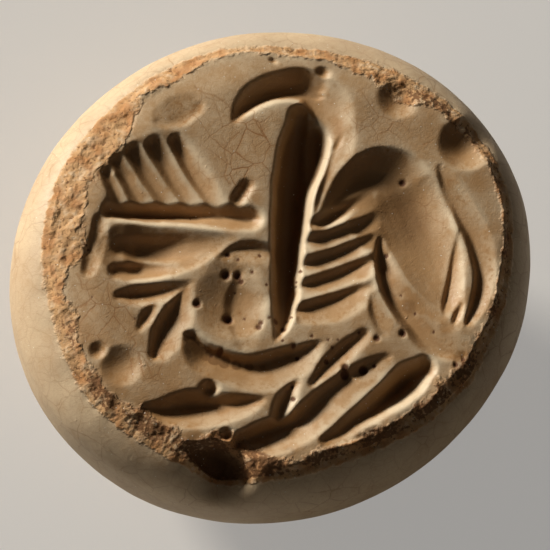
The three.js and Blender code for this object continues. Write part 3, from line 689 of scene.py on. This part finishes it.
@dataclass(frozen=True)
class RoundGrid:
    """A square grid drawn out to a disc, so that its cells stay even and its edge is a ring."""

    cells: int

    def places(self) -> tuple[np.ndarray, np.ndarray]:
        """Place the grid points.

        Returns:
            The radius, from 0 to 1, and the angle of each grid point.
        """
        steps = np.linspace(-1.0, 1.0, self.cells + 1)
        a, b = (side.ravel() for side in np.meshgrid(steps, steps))
        x, y = a * np.sqrt(1 - b * b / 2), b * np.sqrt(1 - a * a / 2)
        return np.minimum(np.hypot(x, y), 1.0), np.arctan2(y, x)

    def _rows(self, values: np.ndarray) -> np.ndarray:
        """Lay out one value for each grid point in rows."""
        return values.reshape(self.cells + 1, self.cells + 1)

    def border(self) -> np.ndarray:
        """Numbers of the points on the edge, anticlockwise from an angle of -45 degrees."""
        grid = self._rows(np.arange((self.cells + 1) ** 2))
        return np.concatenate([grid[:-1, -1], grid[-1, :0:-1], grid[:0:-1, 0], grid[0, :-1]])

    def faces(self) -> np.ndarray:
        """Rows of four point numbers, anticlockwise seen from above."""
        grid = self._rows(np.arange((self.cells + 1) ** 2))
        return np.dstack([grid[:-1, :-1], grid[:-1, 1:], grid[1:, 1:], grid[1:, :-1]]).reshape(-1, 4)

    def slope(self, values: np.ndarray) -> np.ndarray:
        """How much the values rise from one cell to the next, towards the figure's lower right."""
        up, right = np.gradient(self._rows(values))
        return (right - up).ravel()

    def soften(self, values: np.ndarray, passes: int) -> np.ndarray:
        """Spread each value over its neighbours.

        Args:
            values: One value for each grid point.
            passes: How many times the values are spread.

        Returns:
            The softened values.
        """
        sheet = self._rows(values)
        for _ in range(passes):
            for axis in (0, 1):
                wide = np.pad(sheet, [(1, 1) if axis == side else (0, 0) for side in (0, 1)], mode="edge")
                low, high = np.delete(wide, (-1, -2), axis), np.delete(wide, (0, 1), axis)
                sheet = 0.5 * sheet + 0.25 * (low + high)
        return sheet.ravel()


class Atlas(Enum):
    """Where each stretch of the skin lies on its unrolled sheet, as left, bottom, width, height."""

    FACE = (0.005, 0.005, 0.62, 0.62)
    BACK = (0.635, 0.005, 0.36, 0.36)
    BORE = (0.64, 0.38, 0.35, 0.24)
    FLANK_1 = (0.005, 0.635, 0.99, 0.115)
    FLANK_2 = (0.005, 0.757, 0.99, 0.115)
    FLANK_3 = (0.005, 0.879, 0.99, 0.115)

    def place(self, spread: np.ndarray) -> np.ndarray:
        """Fit places that run from -1 to 1 both ways into this part of the sheet."""
        left, bottom, width, height = self.value
        return np.array([left, bottom]) + (spread + 1) / 2 * np.array([width, height])

    def disc(self, grid: RoundGrid, faces: np.ndarray) -> np.ndarray:
        """Fit the corners of a round grid's faces into this part of the sheet."""
        radius, angle = grid.places()
        return self.place(np.stack([radius * np.cos(angle), radius * np.sin(angle)], axis=1)[faces])


@dataclass
class CarvedFace:
    """The sealing face with its figure and its broken, crusted rim."""

    profile: Profile
    grain: Grain
    figure: Figure = field(default_factory=Figure)
    grid: RoundGrid = field(default_factory=lambda: RoundGrid(330))
    tool_wear: int = 3  # softening passes over the carving
    shoulder: float = 0.16  # how far the face sinks beside a cut, as a share of its depth
    shoulder_reach: int = 50  # softening passes that spread it
    swell: float = 0.05
    swell_size: float = 4.0
    sharp_side: float = 330.0  # where the face isn't worn down to its edge, as an angle in degrees
    worn_turn: Pair = (0.55, -0.3)  # cosines of the turn from there where the wear starts and is full
    worn_edge: float = 0.25
    worn_reach: float = 2.2
    crust_wander: float = 0.55  # how much the crust's width strays, as a share of it
    crust_wander_size: float = 1.6
    crust_fade: Pair = (-0.3, 0.4)
    crust_sink: float = 0.02
    crust_roughness: float = 0.1
    crust_grain: float = 0.9
    crumb_share: float = 0.9
    crumbs: tuple[Pair, ...] = ((0.5, 0.45), (0.6, 0.24))  # strength and spacing of each kind
    least_edge: float = 0.2
    edge_fall: float = 1.5  # the higher it is, the closer to the edge the rim falls away
    highest_crumb: float = 0.02
    deepest_mark: float = 1.4
    cavity_reach: int = 36  # softening passes that tell a hollow from a rise
    cavity_limit: float = 0.3
    shade_side_gain: float = 12.0  # how soon a slope away from the key light counts as fully in shade, for the painted shade and highlight
    face_soil_and_shade_reach: float = 1.2

    # width of the crusted rim, by the angle round the face in degrees
    CRUST_ANGLES = (0, 30, 42, 50, 62, 75, 90, 105, 120, 135, 150, 165, 180, 192, 205, 220, 235,
                    250, 262, 275, 290, 305, 320, 335, 350)
    CRUST_WIDTHS = (0.25, 0.35, 0.6, 0.95, 0.7, 0.35, 0.2, 0.3, 0.55, 0.95, 1.2, 1.3, 1.3, 0.7, 0.75,
                    0.85, 0.9, 1.9, 1.0, 0.6, 0.5, 0.8, 0.9, 0.5, 0.3)

    def skin(self) -> Skin:
        """Shape the face.

        Returns:
            The face's points, marks and faces.
        """
        radius, angle = self.grid.places()
        points = self.profile.rim(angle)
        rim_distance = (1 - radius) * np.hypot(points[:, 0], points[:, 1])
        points[:, :2] *= radius[:, None]
        x, y = points[:, 0], points[:, 1]
        degrees = np.degrees(np.arctan2(y, x)) % 360

        relief = Relief(x, y, self.grain)
        relief.carve(self.figure)
        carved = self.grid.soften(relief.depth, self.tool_wear)
        carved += self.shoulder * self.grid.soften(carved, self.shoulder_reach)

        width = np.interp(degrees, self.CRUST_ANGLES, self.CRUST_WIDTHS, period=360)
        width = width * (1 + self.crust_wander * self.grain.layered(points, self.crust_wander_size, 5))
        crust = smooth_step(*self.crust_fade, width - rim_distance)
        edge = np.clip(1 - rim_distance / np.maximum(width, self.least_edge), 0.0, 1.0)

        worn_side = smooth_step(*self.worn_turn, np.cos(np.radians(degrees - self.sharp_side)))
        worn = self.worn_edge * worn_side * smooth_step(self.worn_reach, 0.0, rim_distance)
        drop = carved + worn + self.swell * self.grain.layered(points + SWELL_SHIFT, self.swell_size)
        lumps = sum(strength * self.grain.crumbs(points + CRUMB_SHIFT * kind, size)
                    for kind, (strength, size) in enumerate(self.crumbs))
        rough = self.grain.layered(points * (1.0, 1.0, 0.0) + BREAK_SHIFT, self.crust_grain, 4)
        rough += self.crumb_share * (lumps - 0.5)
        drop += crust * (self.crust_sink - self.crust_roughness * rough)
        fallen = drop + crust * self.profile.rim_drop * edge**self.edge_fall
        points[:, 2] -= np.maximum(fallen, -self.highest_crumb)

        cavity = drop - self.grid.soften(drop, self.cavity_reach)
        skin = Skin(points, {
            "crust": crust,
            "recess": np.clip(carved, 0.0, self.deepest_mark),
            "cavity": np.clip(cavity, -self.cavity_limit, self.cavity_limit),
            # painted light: how far the carving slopes away from the key light, positive on the shaded side
            # and negative on the side facing it
            "shade_side": np.clip(self.shade_side_gain * self.grid.slope(carved), -1.0, 1.0),
            "stain": relief.stained,
            "pit": relief.pitted,
            "crack": relief.cracked,
            "crazed": relief.crazed,
            # rises from the rim inwards; the material darkens and warms the whole face by it, partly as soil
            # and partly as painted shade
            "face_soil_and_shade": smooth_step(0.0, self.face_soil_and_shade_reach, rim_distance),
        })
        faces = self.grid.faces()
        skin.add_faces(faces, Atlas.FACE.disc(self.grid, faces))
        return skin


@dataclass
class Underside:
    """The flank and the domed back, down to the flat that the stone is worn to."""

    profile: Profile
    grain: Grain
    rings: int = 30
    crowding: float = 1.15  # over 1 draws the rings together under the rim
    coarser: int = 3  # how many cells of the face one cell of the back is as wide as
    flat_radius: float = 0.25
    seam_climb: float = 0.04  # how far above the belt the flank stops, as a share of it
    unevenness: float = 0.035
    unevenness_size: float = 3.2
    crust_reach: float = 0.12  # how far down the flank the broken rim runs, as a share of it
    crust_full: float = 0.2  # how far down it is fully broken, as a share of that reach
    crust_roughness: float = 0.12
    crust_sink: float = 0.3  # how far the breaks lie inwards, as a share of their roughness
    stray_fade: float = 1.6  # the higher it is, the sooner the flank loses the rim's outline
    chip_reach: float = 0.16  # how far down the fine breaks of the rim run
    chip_width: int = 15  # widest fine break, in points round the rim
    crazing: float = 0.22
    strip_fill: float = 0.9  # how much of a strip's height the flank takes up
    seam_drop: float = 0.05  # how far below the flank the back's edge lies on a strip

    def _uneven(self, points: np.ndarray) -> np.ndarray:
        """Wear the points a little in and out, but never below the worn flat.

        Args:
            points: Rows of x, y, z.

        Returns:
            The worn points.
        """
        out = points - np.array([0.0, 0.0, self.profile.belt_height])
        out /= np.linalg.norm(out, axis=1, keepdims=True)
        amount = self.unevenness * self.grain.layered(points + WEAR_SHIFT, self.unevenness_size, 4)
        worn = points + out * amount[:, None]
        worn[:, 2] = np.maximum(worn[:, 2], 0.0)
        return worn

    def _blurred(self, strayed: np.ndarray) -> np.ndarray:
        """Smooth what is said for each point of the rim over its neighbours."""
        sides = range(-(self.chip_width // 2), self.chip_width // 2 + 1)
        return sum(np.roll(strayed, side, axis=0) for side in sides) / self.chip_width

    def extend(self, face: Skin, grid: RoundGrid) -> Skin:
        """Close the face with the flank and the back.

        Args:
            face: The carved face.
            grid: The grid that the face was made on.

        Returns:
            The whole skin.
        """
        border = grid.border()
        angles = grid.places()[1][border]
        strayed = face.points[border] - self.profile.flank(angles, 1.0)
        broad = self._blurred(self._blurred(strayed))
        points, crusts, starts = [face.points], [face.marks["crust"]], [border]
        for ring in range(1, self.rings + 1):
            down = (ring / self.rings) ** self.crowding
            climb = 1 - down * (1 - self.seam_climb)
            level = self._uneven(self.profile.flank(angles, climb)) + broad * (1 - down) ** self.stray_fade
            level += (strayed - broad) * max(0.0, 1 - down / self.chip_reach) ** 2
            broken = crusts[0][border] * smooth_step(1.0, self.crust_full, down / self.crust_reach)
            out = level[:, :2] / np.linalg.norm(level[:, :2], axis=1, keepdims=True)
            breaks = self.grain.layered(level + BREAK_SHIFT, 1.0, 4) - self.crust_sink
            level[:, :2] += out * (self.crust_roughness * broken * breaks)[:, None]
            starts.append(np.arange(len(border)) + sum(map(len, points)))
            points.append(level)
            crusts.append(broken)
        back_grid = RoundGrid(grid.cells // self.coarser)
        back_start = sum(map(len, points))
        radius, angle = back_grid.places()
        points.append(self._uneven(self.profile.back(angle, radius, self.flat_radius)))
        crusts.append(np.zeros(len(radius)))

        total = np.vstack(points)
        marks = {name: np.zeros(len(total)) for name in MARKS}
        for name, values in face.marks.items():
            marks[name][: len(values)] = values
        marks["crust"] = np.concatenate(crusts)
        marks["crazed"][len(face.points) :] = self.crazing
        skin = Skin(total, marks, list(face.faces), list(face.corners))
        self._close(skin, starts, back_grid.border() + back_start)
        quads = back_grid.faces()[:, ::-1]
        skin.add_faces(quads + back_start, Atlas.BACK.disc(back_grid, quads))
        return skin

    def _add(self, skin: Skin, count: int, corners: Iterable[np.ndarray], columns: Iterable[np.ndarray],
             climbs: Iterable[float]) -> None:
        """Add faces to the flank, which is unrolled into three strips.

        Args:
            skin: The skin that they are added to.
            count: Number of points round the flank.
            corners: Point numbers of each face's first corners, second corners and so on.
            columns: The same corners' columns round the flank.
            climbs: How far up the same corners are, 1 at the rim and 0 at the seam.
        """
        column = np.stack(columns, axis=1)
        each = count // 3
        strip = column.min(axis=1) // each
        across = 2 * (column - strip[:, None] * each) / each - 1
        up = np.broadcast_to(self.strip_fill * (2 * np.array(climbs) - 1), column.shape)
        spread = np.stack([across, up], axis=-1)
        placed = np.stack([part.place(spread) for part in (Atlas.FLANK_1, Atlas.FLANK_2, Atlas.FLANK_3)])
        skin.add_faces(np.stack(corners, axis=1), placed[strip, np.arange(len(column))])

    def _close(self, skin: Skin, starts: list[np.ndarray], coarse: np.ndarray) -> None:
        """Join the rings of the flank, and the last one to the back's wider cells.

        Args:
            skin: The skin that the faces are added to.
            starts: Point numbers of each ring, from the rim down.
            coarse: Point numbers of the back's edge.
        """
        fine = starts[-1]
        count = len(fine)
        column = np.arange(count)
        after = (column + 1) % count
        columns = (column, column + 1, column + 1, column)
        for ring, (upper, lower) in enumerate(zip(starts, starts[1:])):
            top, bottom = 1 - ring / self.rings, 1 - (ring + 1) / self.rings
            corners = (lower, lower[after], upper[after], upper)
            self._add(skin, count, corners, columns, (bottom, bottom, top, top))

        first = self.coarser * np.arange(len(coarse))
        upper = [fine[(first + step) % count] for step in range(4)]
        there = np.roll(coarse, -1)
        below = -self.seam_drop
        shapes = (
            ((coarse, upper[1], upper[0]), (0, 1, 0), (below, 0, 0)),
            ((coarse, there, upper[2], upper[1]), (0, 3, 2, 1), (below, below, 0, 0)),
            ((there, upper[3], upper[2]), (3, 3, 2), (below, 0, 0)),
        )
        for corners, steps, climbs in shapes:
            self._add(skin, count, corners, [first + step for step in steps], climbs)


@dataclass
class StringHole:
    """The hole for a string, bored from both ends of the long axis to meet in the middle."""

    profile: Profile
    height: float = 5.6
    mouth: float = 3.8
    waist: float = 2.6
    worn_lip: float = 0.28
    worn_length: float = 1.5
    sides: int = 72
    rings: int = 64
    overshoot: float = 1.0
    cap_place: float = 0.001  # the caps are cut away, so all their corners share one place unrolled

    def skin(self) -> Skin:
        """Shape the borer that cuts the hole.

        Returns:
            A closed spindle.
        """
        reach = self.profile.belt_along + self.overshoot
        travel = np.linspace(-reach, reach, self.rings + 1)
        share = np.abs(travel) / self.profile.belt_along
        radius = self.waist / 2 + (self.mouth - self.waist) / 2 * share
        lip = smooth_step(self.profile.belt_along - self.worn_length, reach, np.abs(travel))
        radius += self.worn_lip * lip
        around = np.arange(self.sides) * math.tau / self.sides
        across, up = radius[:, None] * np.cos(around), radius[:, None] * np.sin(around)
        along = np.broadcast_to(travel[:, None], across.shape)
        points = self.profile.turned(along, across, self.height + up).reshape(-1, 3)
        skin = Skin(points, {name: np.zeros(len(points)) for name in MARKS})
        ring, side = (index.ravel() for index in np.indices((self.rings, self.sides)))
        after = (side + 1) % self.sides
        rows = np.stack([ring, ring, ring + 1, ring + 1], axis=1)
        faces = rows * self.sides + np.stack([side, after, after, side], axis=1)
        turns = np.stack([side, side + 1, side + 1, side], axis=1)
        spread = np.stack([2 * rows / self.rings - 1, 2 * turns / self.sides - 1], axis=-1)
        skin.add_faces(faces, Atlas.BORE.place(spread))
        for end in (np.arange(self.sides)[::-1], np.arange(self.sides) + self.rings * self.sides):
            skin.add_faces(end[None], np.full((1, self.sides, 2), self.cap_place))
        return skin


@dataclass
class SealStone:
    """The whole stone."""

    profile: Profile = field(default_factory=Profile)
    grain: Grain = field(default_factory=lambda: Grain(41))

    def _object(self, name: str, skin: Skin, material: bpy.types.Material) -> bpy.types.Object:
        """Make a mesh object from a skin.

        Args:
            name: Name of the object.
            skin: The skin in millimetres.
            material: What it is made of.

        Returns:
            The object, in metres.
        """
        mesh = bpy.data.meshes.new(name)
        mesh.from_pydata(skin.points * MM, [], skin.faces)
        mesh.uv_layers.new(name=UV_NAME).uv.foreach_set("vector", np.array(skin.corners).ravel())
        for mark, values in skin.marks.items():
            mesh.attributes.new(mark, "FLOAT", "POINT").data.foreach_set("value", values)
        mesh.shade_smooth()
        mesh.materials.append(material)
        made = bpy.data.objects.new(name, mesh)
        bpy.context.collection.objects.link(made)
        return made

    def build(self, material: bpy.types.Material) -> bpy.types.Object:
        """Carve the stone and bore its string hole.

        Args:
            material: The stone's material.

        Returns:
            The finished stone.
        """
        face = CarvedFace(self.profile, self.grain)
        whole = Underside(self.profile, self.grain).extend(face.skin(), face.grid)
        stone = self._object("stone_body", whole, material)
        borer = self._object("borer", StringHole(self.profile).skin(), material)
        bore = stone.modifiers.new("string_hole", "BOOLEAN")
        bore.operation = "DIFFERENCE"
        bore.solver = "MANIFOLD"
        bore.object = borer
        view = bpy.context.evaluated_depsgraph_get()
        bored = bpy.data.meshes.new_from_object(
            stone.evaluated_get(view), preserve_all_data_layers=True, depsgraph=view)
        stone.modifiers.clear()
        stone.data = bored
        bpy.data.objects.remove(borer)
        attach(stone, BODY)
        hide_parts(NODE)
        return stone


Value = "float | Colour | Field | bpy.types.NodeSocket"


class Field:
    """A shader value that is written as arithmetic."""

    def __init__(self, sheet: "Sheet", socket: bpy.types.NodeSocket) -> None:
        """Wrap an output socket of a material's or the world's nodes."""
        self.sheet = sheet
        self.socket = socket

    def _math(self, operation: str, *values: Value, clamp: bool = False) -> "Field":
        """Add one Math node, whose result may be kept between 0 and 1."""
        settings = {"operation": operation, "use_clamp": clamp}
        return self.sheet.field("Math", settings, dict(enumerate(values)))

    def __add__(self, other: Value) -> "Field":
        """Add a value."""
        return self._math("ADD", self, other)

    __radd__ = __add__

    def __sub__(self, other: Value) -> "Field":
        """Take a value away."""
        return self._math("SUBTRACT", self, other)

    def __rsub__(self, other: Value) -> "Field":
        """Take this from a value."""
        return self._math("SUBTRACT", other, self)

    def __mul__(self, other: Value) -> "Field":
        """Multiply by a value."""
        return self._math("MULTIPLY", self, other)

    __rmul__ = __mul__

    def over(self, other: Value) -> "Field":
        """The larger of this and another value."""
        return self._math("MAXIMUM", self, other)

    def clamped(self) -> "Field":
        """This value, kept between 0 and 1."""
        return self._math("ADD", self, 0.0, clamp=True)

    def step(self, low: float, high: float) -> "Field":
        """Rise smoothly from 0 to 1.

        Args:
            low: The value that gives 0.
            high: The value that gives 1.

        Returns:
            The shaped value.
        """
        settings = {"interpolation_type": "SMOOTHSTEP"}
        if low < high:
            return self.sheet.field("MapRange", settings, {0: self, 1: low, 2: high})
        return 1.0 - self.sheet.field("MapRange", settings, {0: self, 1: high, 2: low})


class Sheet:
    """One node tree, with its maths written as expressions."""

    def __init__(self, tree: bpy.types.NodeTree) -> None:
        """Empty the tree of a material or of the world."""
        tree.nodes.clear()
        self._tree = tree

    def node(self, kind: str, settings: Mapping[str, Any] | None = None,
             values: Mapping[int | str, Value] | None = None) -> bpy.types.Node:
        """Add one node.

        Args:
            kind: The node's type, without the ShaderNode that every type starts with.
            settings: Its settings, set first.
            values: What its sockets hold or are linked to, by number or name.

        Returns:
            The node.
        """
        made = self._tree.nodes.new(f"ShaderNode{kind}")
        for name, setting in (settings or {}).items():
            setattr(made, name, setting)
        for key, value in (values or {}).items():
            socket = made.inputs[key]
            if isinstance(value, Field):
                value = value.socket
            if isinstance(value, bpy.types.NodeSocket):
                self._tree.links.new(value, socket)
            elif isinstance(value, tuple) and socket.type == "RGBA":
                socket.default_value = (*value, 1.0)
            else:
                socket.default_value = value
        return made

    def field(self, kind: str, settings: Mapping[str, Any] | None = None,
              values: Mapping[int | str, Value] | None = None, out: int | str = 0) -> Field:
        """Add one node and take one of its outputs, by number or name, as a value."""
        return Field(self, self.node(kind, settings, values).outputs[out])

    def painted(self, base: Value, *coats: tuple[Value, Value]) -> Value:
        """Lay coats of colour over each other.

        Args:
            base: The colour underneath.
            coats: How much of each coat shows, and its colour.

        Returns:
            The colour that is seen.
        """
        for share, coat in coats:
            mixed = self.node("Mix", {"data_type": "RGBA", "clamp_factor": True},
                              {0: share, 6: base, 7: coat})
            base = mixed.outputs[2]
        return base

    def mark(self, name: str) -> Field:
        """Read what is marked on the skin's points."""
        return self.field("Attribute", {"attribute_name": name}, out="Fac")


@dataclass(frozen=True)
class StoneFinish:
    """Pale close-grained stone, soil-stained, with a network of cracks and a crusted rim, and with shade and
    highlights painted on its carving.
    """

    cream: Colour = (0.80, 0.62, 0.41)
    # cream of rubbed ridges, also used as painted highlight
    rubbed_and_lit: Colour = (0.88, 0.74, 0.53)
    grey_beige: Colour = (0.71, 0.535, 0.35)
    tan: Colour = (0.60, 0.38, 0.195)
    crack_brown: Colour = (0.4, 0.19, 0.07)
    deep_brown: Colour = (0.2, 0.1, 0.04)
    # orange-brown of real stains, also used as painted shade in recesses and on slopes away from the light
    stain_and_shade_orange: Colour = (0.47, 0.25, 0.095)
    soil: Colour = (0.16, 0.065, 0.025)
    crust_tan: Colour = (0.67, 0.40, 0.19)
    crust_white: Colour = (0.84, 0.63, 0.41)
    crust_orange: Colour = (0.53, 0.24, 0.08)
    crust_dark: Colour = (0.2, 0.085, 0.03)
    speck_white: Colour = (0.92, 0.86, 0.74)
    bump_height: float = 0.035  # millimetres
    # cell and width in millimetres of the crack networks, and what is added to their patches' scale
    networks: tuple[Triple, ...] = ((1.25, 0.035, 0.0), (0.7, 0.025, 0.37))

    def _cracks(self, sheet: Sheet, place: Field) -> Field:
        """The crack network, 1 in a crack.

        Args:
            sheet: The material's nodes.
            place: Place on the stone in millimetres.

        Returns:
            The strength of the cracks.
        """
        wander = sheet.node("TexNoise", None, {"Vector": place, "Scale": 1.1, "Detail": 3.0})
        bent = sheet.field("VectorMath", {"operation": "MULTIPLY_ADD"},
                           {0: wander.outputs["Color"], 1: (0.35, 0.35, 0.35), 2: place})
        drawn = []
        for cell, width, finer in self.networks:
            edge = sheet.field("TexVoronoi", {"feature": "DISTANCE_TO_EDGE"},
                               {"Vector": bent, "Scale": 1.0 / cell}, "Distance") * cell
            patch = sheet.field("TexNoise", None, {"Vector": place, "Scale": 0.28 + finer, "Detail": 2.0})
            lines = edge.step(width, width * 0.3) + edge.step(width * 4.5, 0.0) * 0.3
            drawn.append(lines * (patch.step(0.48, 0.7) * 0.35 + sheet.mark("crazed")))
        wide, fine = drawn
        return wide.over(fine * 0.5)

    def material(self) -> bpy.types.Material:
        """Make the stone's material.

        Returns:
            The material.
        """
        made = bpy.data.materials.new("stone")
        made.use_nodes = True
        sheet = Sheet(made.node_tree)
        metres = sheet.field("TexCoord", out="Object")
        place = sheet.field("VectorMath", {"operation": "SCALE"}, {0: metres, "Scale": 1 / MM})

        def noise(scale: float, detail: float = 3.0) -> Field:
            """Smooth noise, with one swell to 1/scale millimetres."""
            values = {"Vector": place, "Scale": scale, "Detail": detail}
            return sheet.field("TexNoise", None, values)

        crust, recess, cavity, pit, shade_side = map(sheet.mark, ("crust", "recess", "cavity", "pit", "shade_side"))
        cloud, mottle, fine, dust = noise(0.33), noise(1.1, 4.0), noise(4.5, 4.0), noise(14.0, 2.0)
        cracks = self._cracks(sheet, place).over(sheet.mark("crack"))

        # the face, the recesses and the bottoms of hollows darkened to tan, partly soil and partly painted
        # shade; the noise adds random soil
        face_soil_and_shade = sheet.mark("face_soil_and_shade") * (0.6 + mottle.step(0.35, 0.7) * 0.4)
        soil_and_shade = (face_soil_and_shade + recess * 0.3 + cavity * 2.6 + (fine - 0.5) * 1.1 + (dust - 0.5) * 0.9).clamped()
        lip = recess.step(0.015, 0.1) * (1 - recess.step(0.12, 0.3))
        stain = (sheet.mark("stain") * mottle.step(0.15, 0.5) * 1.15).clamped()
        # ridges lightened as rubbed wear and as painted highlight, and slopes facing the key light lightened
        # as painted highlight
        rub_and_highlight = cavity * -9.0 - mottle.step(0.45, 0.7) * 0.5 - shade_side.over(0.0) * 6.0 - shade_side * 0.8
        colour = sheet.painted(
            self.cream,
            (cloud.step(0.38, 0.66), self.grey_beige),
            (mottle.step(0.5, 0.75) * 0.35, self.tan),
            (soil_and_shade * 0.95, self.tan),
            # soil and painted shade, stronger deeper in the cuts
            (recess.step(0.04, 0.4) * 0.45, self.stain_and_shade_orange),
            (lip * (fine + cavity * 1.5).step(0.5, 0.66) * 0.75, self.stain_and_shade_orange),
            (stain * 0.75, self.stain_and_shade_orange),
            (stain.step(0.75, 1.1) * 0.8, self.deep_brown),
            # painted shade on slopes facing away from the key light
            (shade_side.step(0.02, 0.3) * 0.6, self.stain_and_shade_orange),
            # rubbed wear and painted highlight
            (rub_and_highlight.clamped() * 0.75, self.rubbed_and_lit),
            ((cracks * 0.6).clamped(), self.crack_brown),
        )
        crumb, grit = noise(2.6, 5.0), noise(6.0, 3.0)
        grime = (grit * 0.6 + crumb * 0.4 - sheet.mark("stain") * 0.22).step(0.45, 0.35)
        crusted = sheet.painted(
            self.crust_tan,
            (crumb.step(0.46, 0.66) * 0.8, self.crust_white),
            (noise(1.3, 5.0).step(0.46, 0.62) * 0.8, self.crust_orange),
            (grime * 0.85, self.crust_dark),
            # the crust darkened in its hollows, partly dirt and partly painted shade
            ((cavity * 3.0).clamped(), self.crust_dark),
        )
        broken = (crust * 1.2 + (crumb - 0.5) * 1.6).step(0.25, 0.85)
        spark = sheet.field("TexVoronoi", {"feature": "F1"}, {"Vector": place, "Scale": 2.1}, "Distance")
        colour = sheet.painted(
            colour,
            (broken, crusted),
            # the deepest cuts darkened, partly soil and partly painted shade
            (recess.step(0.6, 1.15) * 0.85, self.deep_brown),
            (pit, self.soil),
            (spark.step(0.085, 0.05) * (1 - pit) * 0.8, self.speck_white),
        )

        height = fine * 0.35 + dust * 0.35 - cracks * 0.08 + broken * (crumb * 1.8 + grit * 1.3)
        bump = sheet.field("Bump", None,
                           {"Strength": 1.0, "Distance": self.bump_height * MM, "Height": height})
        roughness = 0.5 + (fine - 0.5) * 0.2 + broken * 0.3 + pit * 0.2
        surface = sheet.field("BsdfPrincipled", None, {
            "Base Color": colour, "Roughness": roughness.clamped(), "Normal": bump,
            "IOR": 1.5, "Specular IOR Level": 0.4,
        })
        sheet.node("OutputMaterial", None, {"Surface": surface})
        return made


class Lamp(NamedTuple):
    """A soft lamp. towards points from the stone to it, and level is its light on a facing surface."""

    name: str
    towards: Triple
    distance: float
    size: float
    level: float
    colour: Colour


@dataclass(frozen=True)
class Studio:
    """A pale floor, soft light from the upper left, and the camera. Lengths are in metres."""

    floor_size: float = 1.6
    floor_colour: Colour = (0.8, 0.78, 0.75)
    floor_paleness: float = 0.4
    world_colour: Colour = (1.0, 0.9, 0.78)
    world_level: float = 0.022
    backdrop_level: float = 0.75
    lamps: tuple[Lamp, ...] = (
        Lamp("key_lamp", (-0.68, 0.6, 0.27), 0.6, 0.13, 1.1, (1.0, 0.93, 0.82)),
        Lamp("side_lamp", (0.6, -0.65, 0.45), 0.6, 0.35, 0.015, (1.0, 0.9, 0.78)),
    )
    towards_camera: Triple = (-0.1257, -0.2823, 0.9511)
    camera_distance: float = 0.27
    sensor_width: float = 36.0  # millimetres
    shown_width: float = 0.0275
    aim: Place = (-0.00025, -0.00105)  # from the middle of the face, in the picture

    def _floor(self) -> None:
        """Lay the floor that the stone rests on."""
        half = self.floor_size / 2
        mesh = bpy.data.meshes.new("floor")
        corners = [(-half, -half, 0.0), (half, -half, 0.0), (half, half, 0.0), (-half, half, 0.0)]
        mesh.from_pydata(corners, [], [(0, 1, 2, 3)])
        floor = bpy.data.objects.new("floor", mesh)
        bpy.context.collection.objects.link(floor)
        paper = bpy.data.materials.new("floor_paper")
        paper.use_nodes = True
        sheet = Sheet(paper.node_tree)
        surface = sheet.field("BsdfPrincipled", None, {
            "Base Color": self.floor_colour, "Roughness": 0.9, "Specular IOR Level": 0.1,
        })
        seen = sheet.field("LightPath", out="Is Camera Ray")
        pale = sheet.field("Emission", None, {"Color": self.floor_colour, "Strength": 1.0})
        shown = sheet.field("MixShader", None, {0: seen * self.floor_paleness, 1: surface, 2: pale})
        sheet.node("OutputMaterial", None, {"Surface": shown})
        mesh.materials.append(paper)

    def _world(self) -> None:
        """Light the shadows from all round, in front of a pale backdrop."""
        world = bpy.data.worlds.new("studio")
        world.use_nodes = True
        sheet = Sheet(world.node_tree)
        rays = sheet.node("LightPath")
        seen = Field(sheet, rays.outputs["Is Camera Ray"])
        seen = seen.over(Field(sheet, rays.outputs["Is Transmission Ray"]))
        level = self.world_level + seen * (self.backdrop_level - self.world_level)
        light = sheet.field("Background", None, {"Color": self.world_colour, "Strength": level})
        sheet.node("OutputWorld", None, {"Surface": light})
        bpy.context.scene.world = world

    def _light(self, lamp: Lamp, target: Vector) -> None:
        """Hang one lamp.

        Args:
            lamp: The lamp.
            target: The point that it is aimed at.
        """
        light = bpy.data.lights.new(lamp.name, "AREA")
        light.shape = "DISK"
        light.size = lamp.size
        light.color = lamp.colour
        light.energy = lamp.level * 4 * math.pi * lamp.distance**2
        made = bpy.data.objects.new(lamp.name, light)
        towards = Vector(lamp.towards).normalized()
        made.location = target + towards * lamp.distance
        made.rotation_euler = towards.to_track_quat("Z", "Y").to_euler()
        bpy.context.collection.objects.link(made)

    def _camera(self, target: Vector) -> None:
        """Set up the camera, turned so that the figure stands upright in the picture.

        Args:
            target: The middle of the face.
        """
        back = Vector(self.towards_camera).normalized()
        turn = Vector((0.0, 0.0, 1.0)).rotation_difference(back)
        data = bpy.data.cameras.new("camera")
        data.sensor_width = self.sensor_width
        data.lens = self.sensor_width * self.camera_distance / self.shown_width
        made = bpy.data.objects.new("camera", data)
        shift = turn @ Vector((*self.aim, 0.0))
        place = target + shift + back * self.camera_distance
        made.matrix_world = Matrix.Translation(place) @ turn.to_matrix().to_4x4()
        bpy.context.collection.objects.link(made)
        bpy.context.scene.camera = made

    def build(self, face_height: float) -> None:
        """Set up the whole studio.

        Args:
            face_height: Height of the sealing face in metres.
        """
        target = Vector((0.0, 0.0, face_height))
        self._floor()
        self._world()
        for lamp in self.lamps:
            self._light(lamp, target)
        self._camera(target)
        bpy.context.scene.view_settings.view_transform = "Standard"


def main() -> None:
    """Build the stone and the studio, and report each piece."""
    logging.basicConfig(level=logging.INFO, format="%(name)s: %(message)s")
    stone = SealStone()
    Studio().build(stone.profile.height * MM)
    log.info("studio: floor, world, lamps and camera")
    piece = stone.build(StoneFinish().material())
    log.info("%s: %d points, %d faces", piece.name, len(piece.data.vertices), len(piece.data.polygons))


if __name__ == "__main__":
    main()
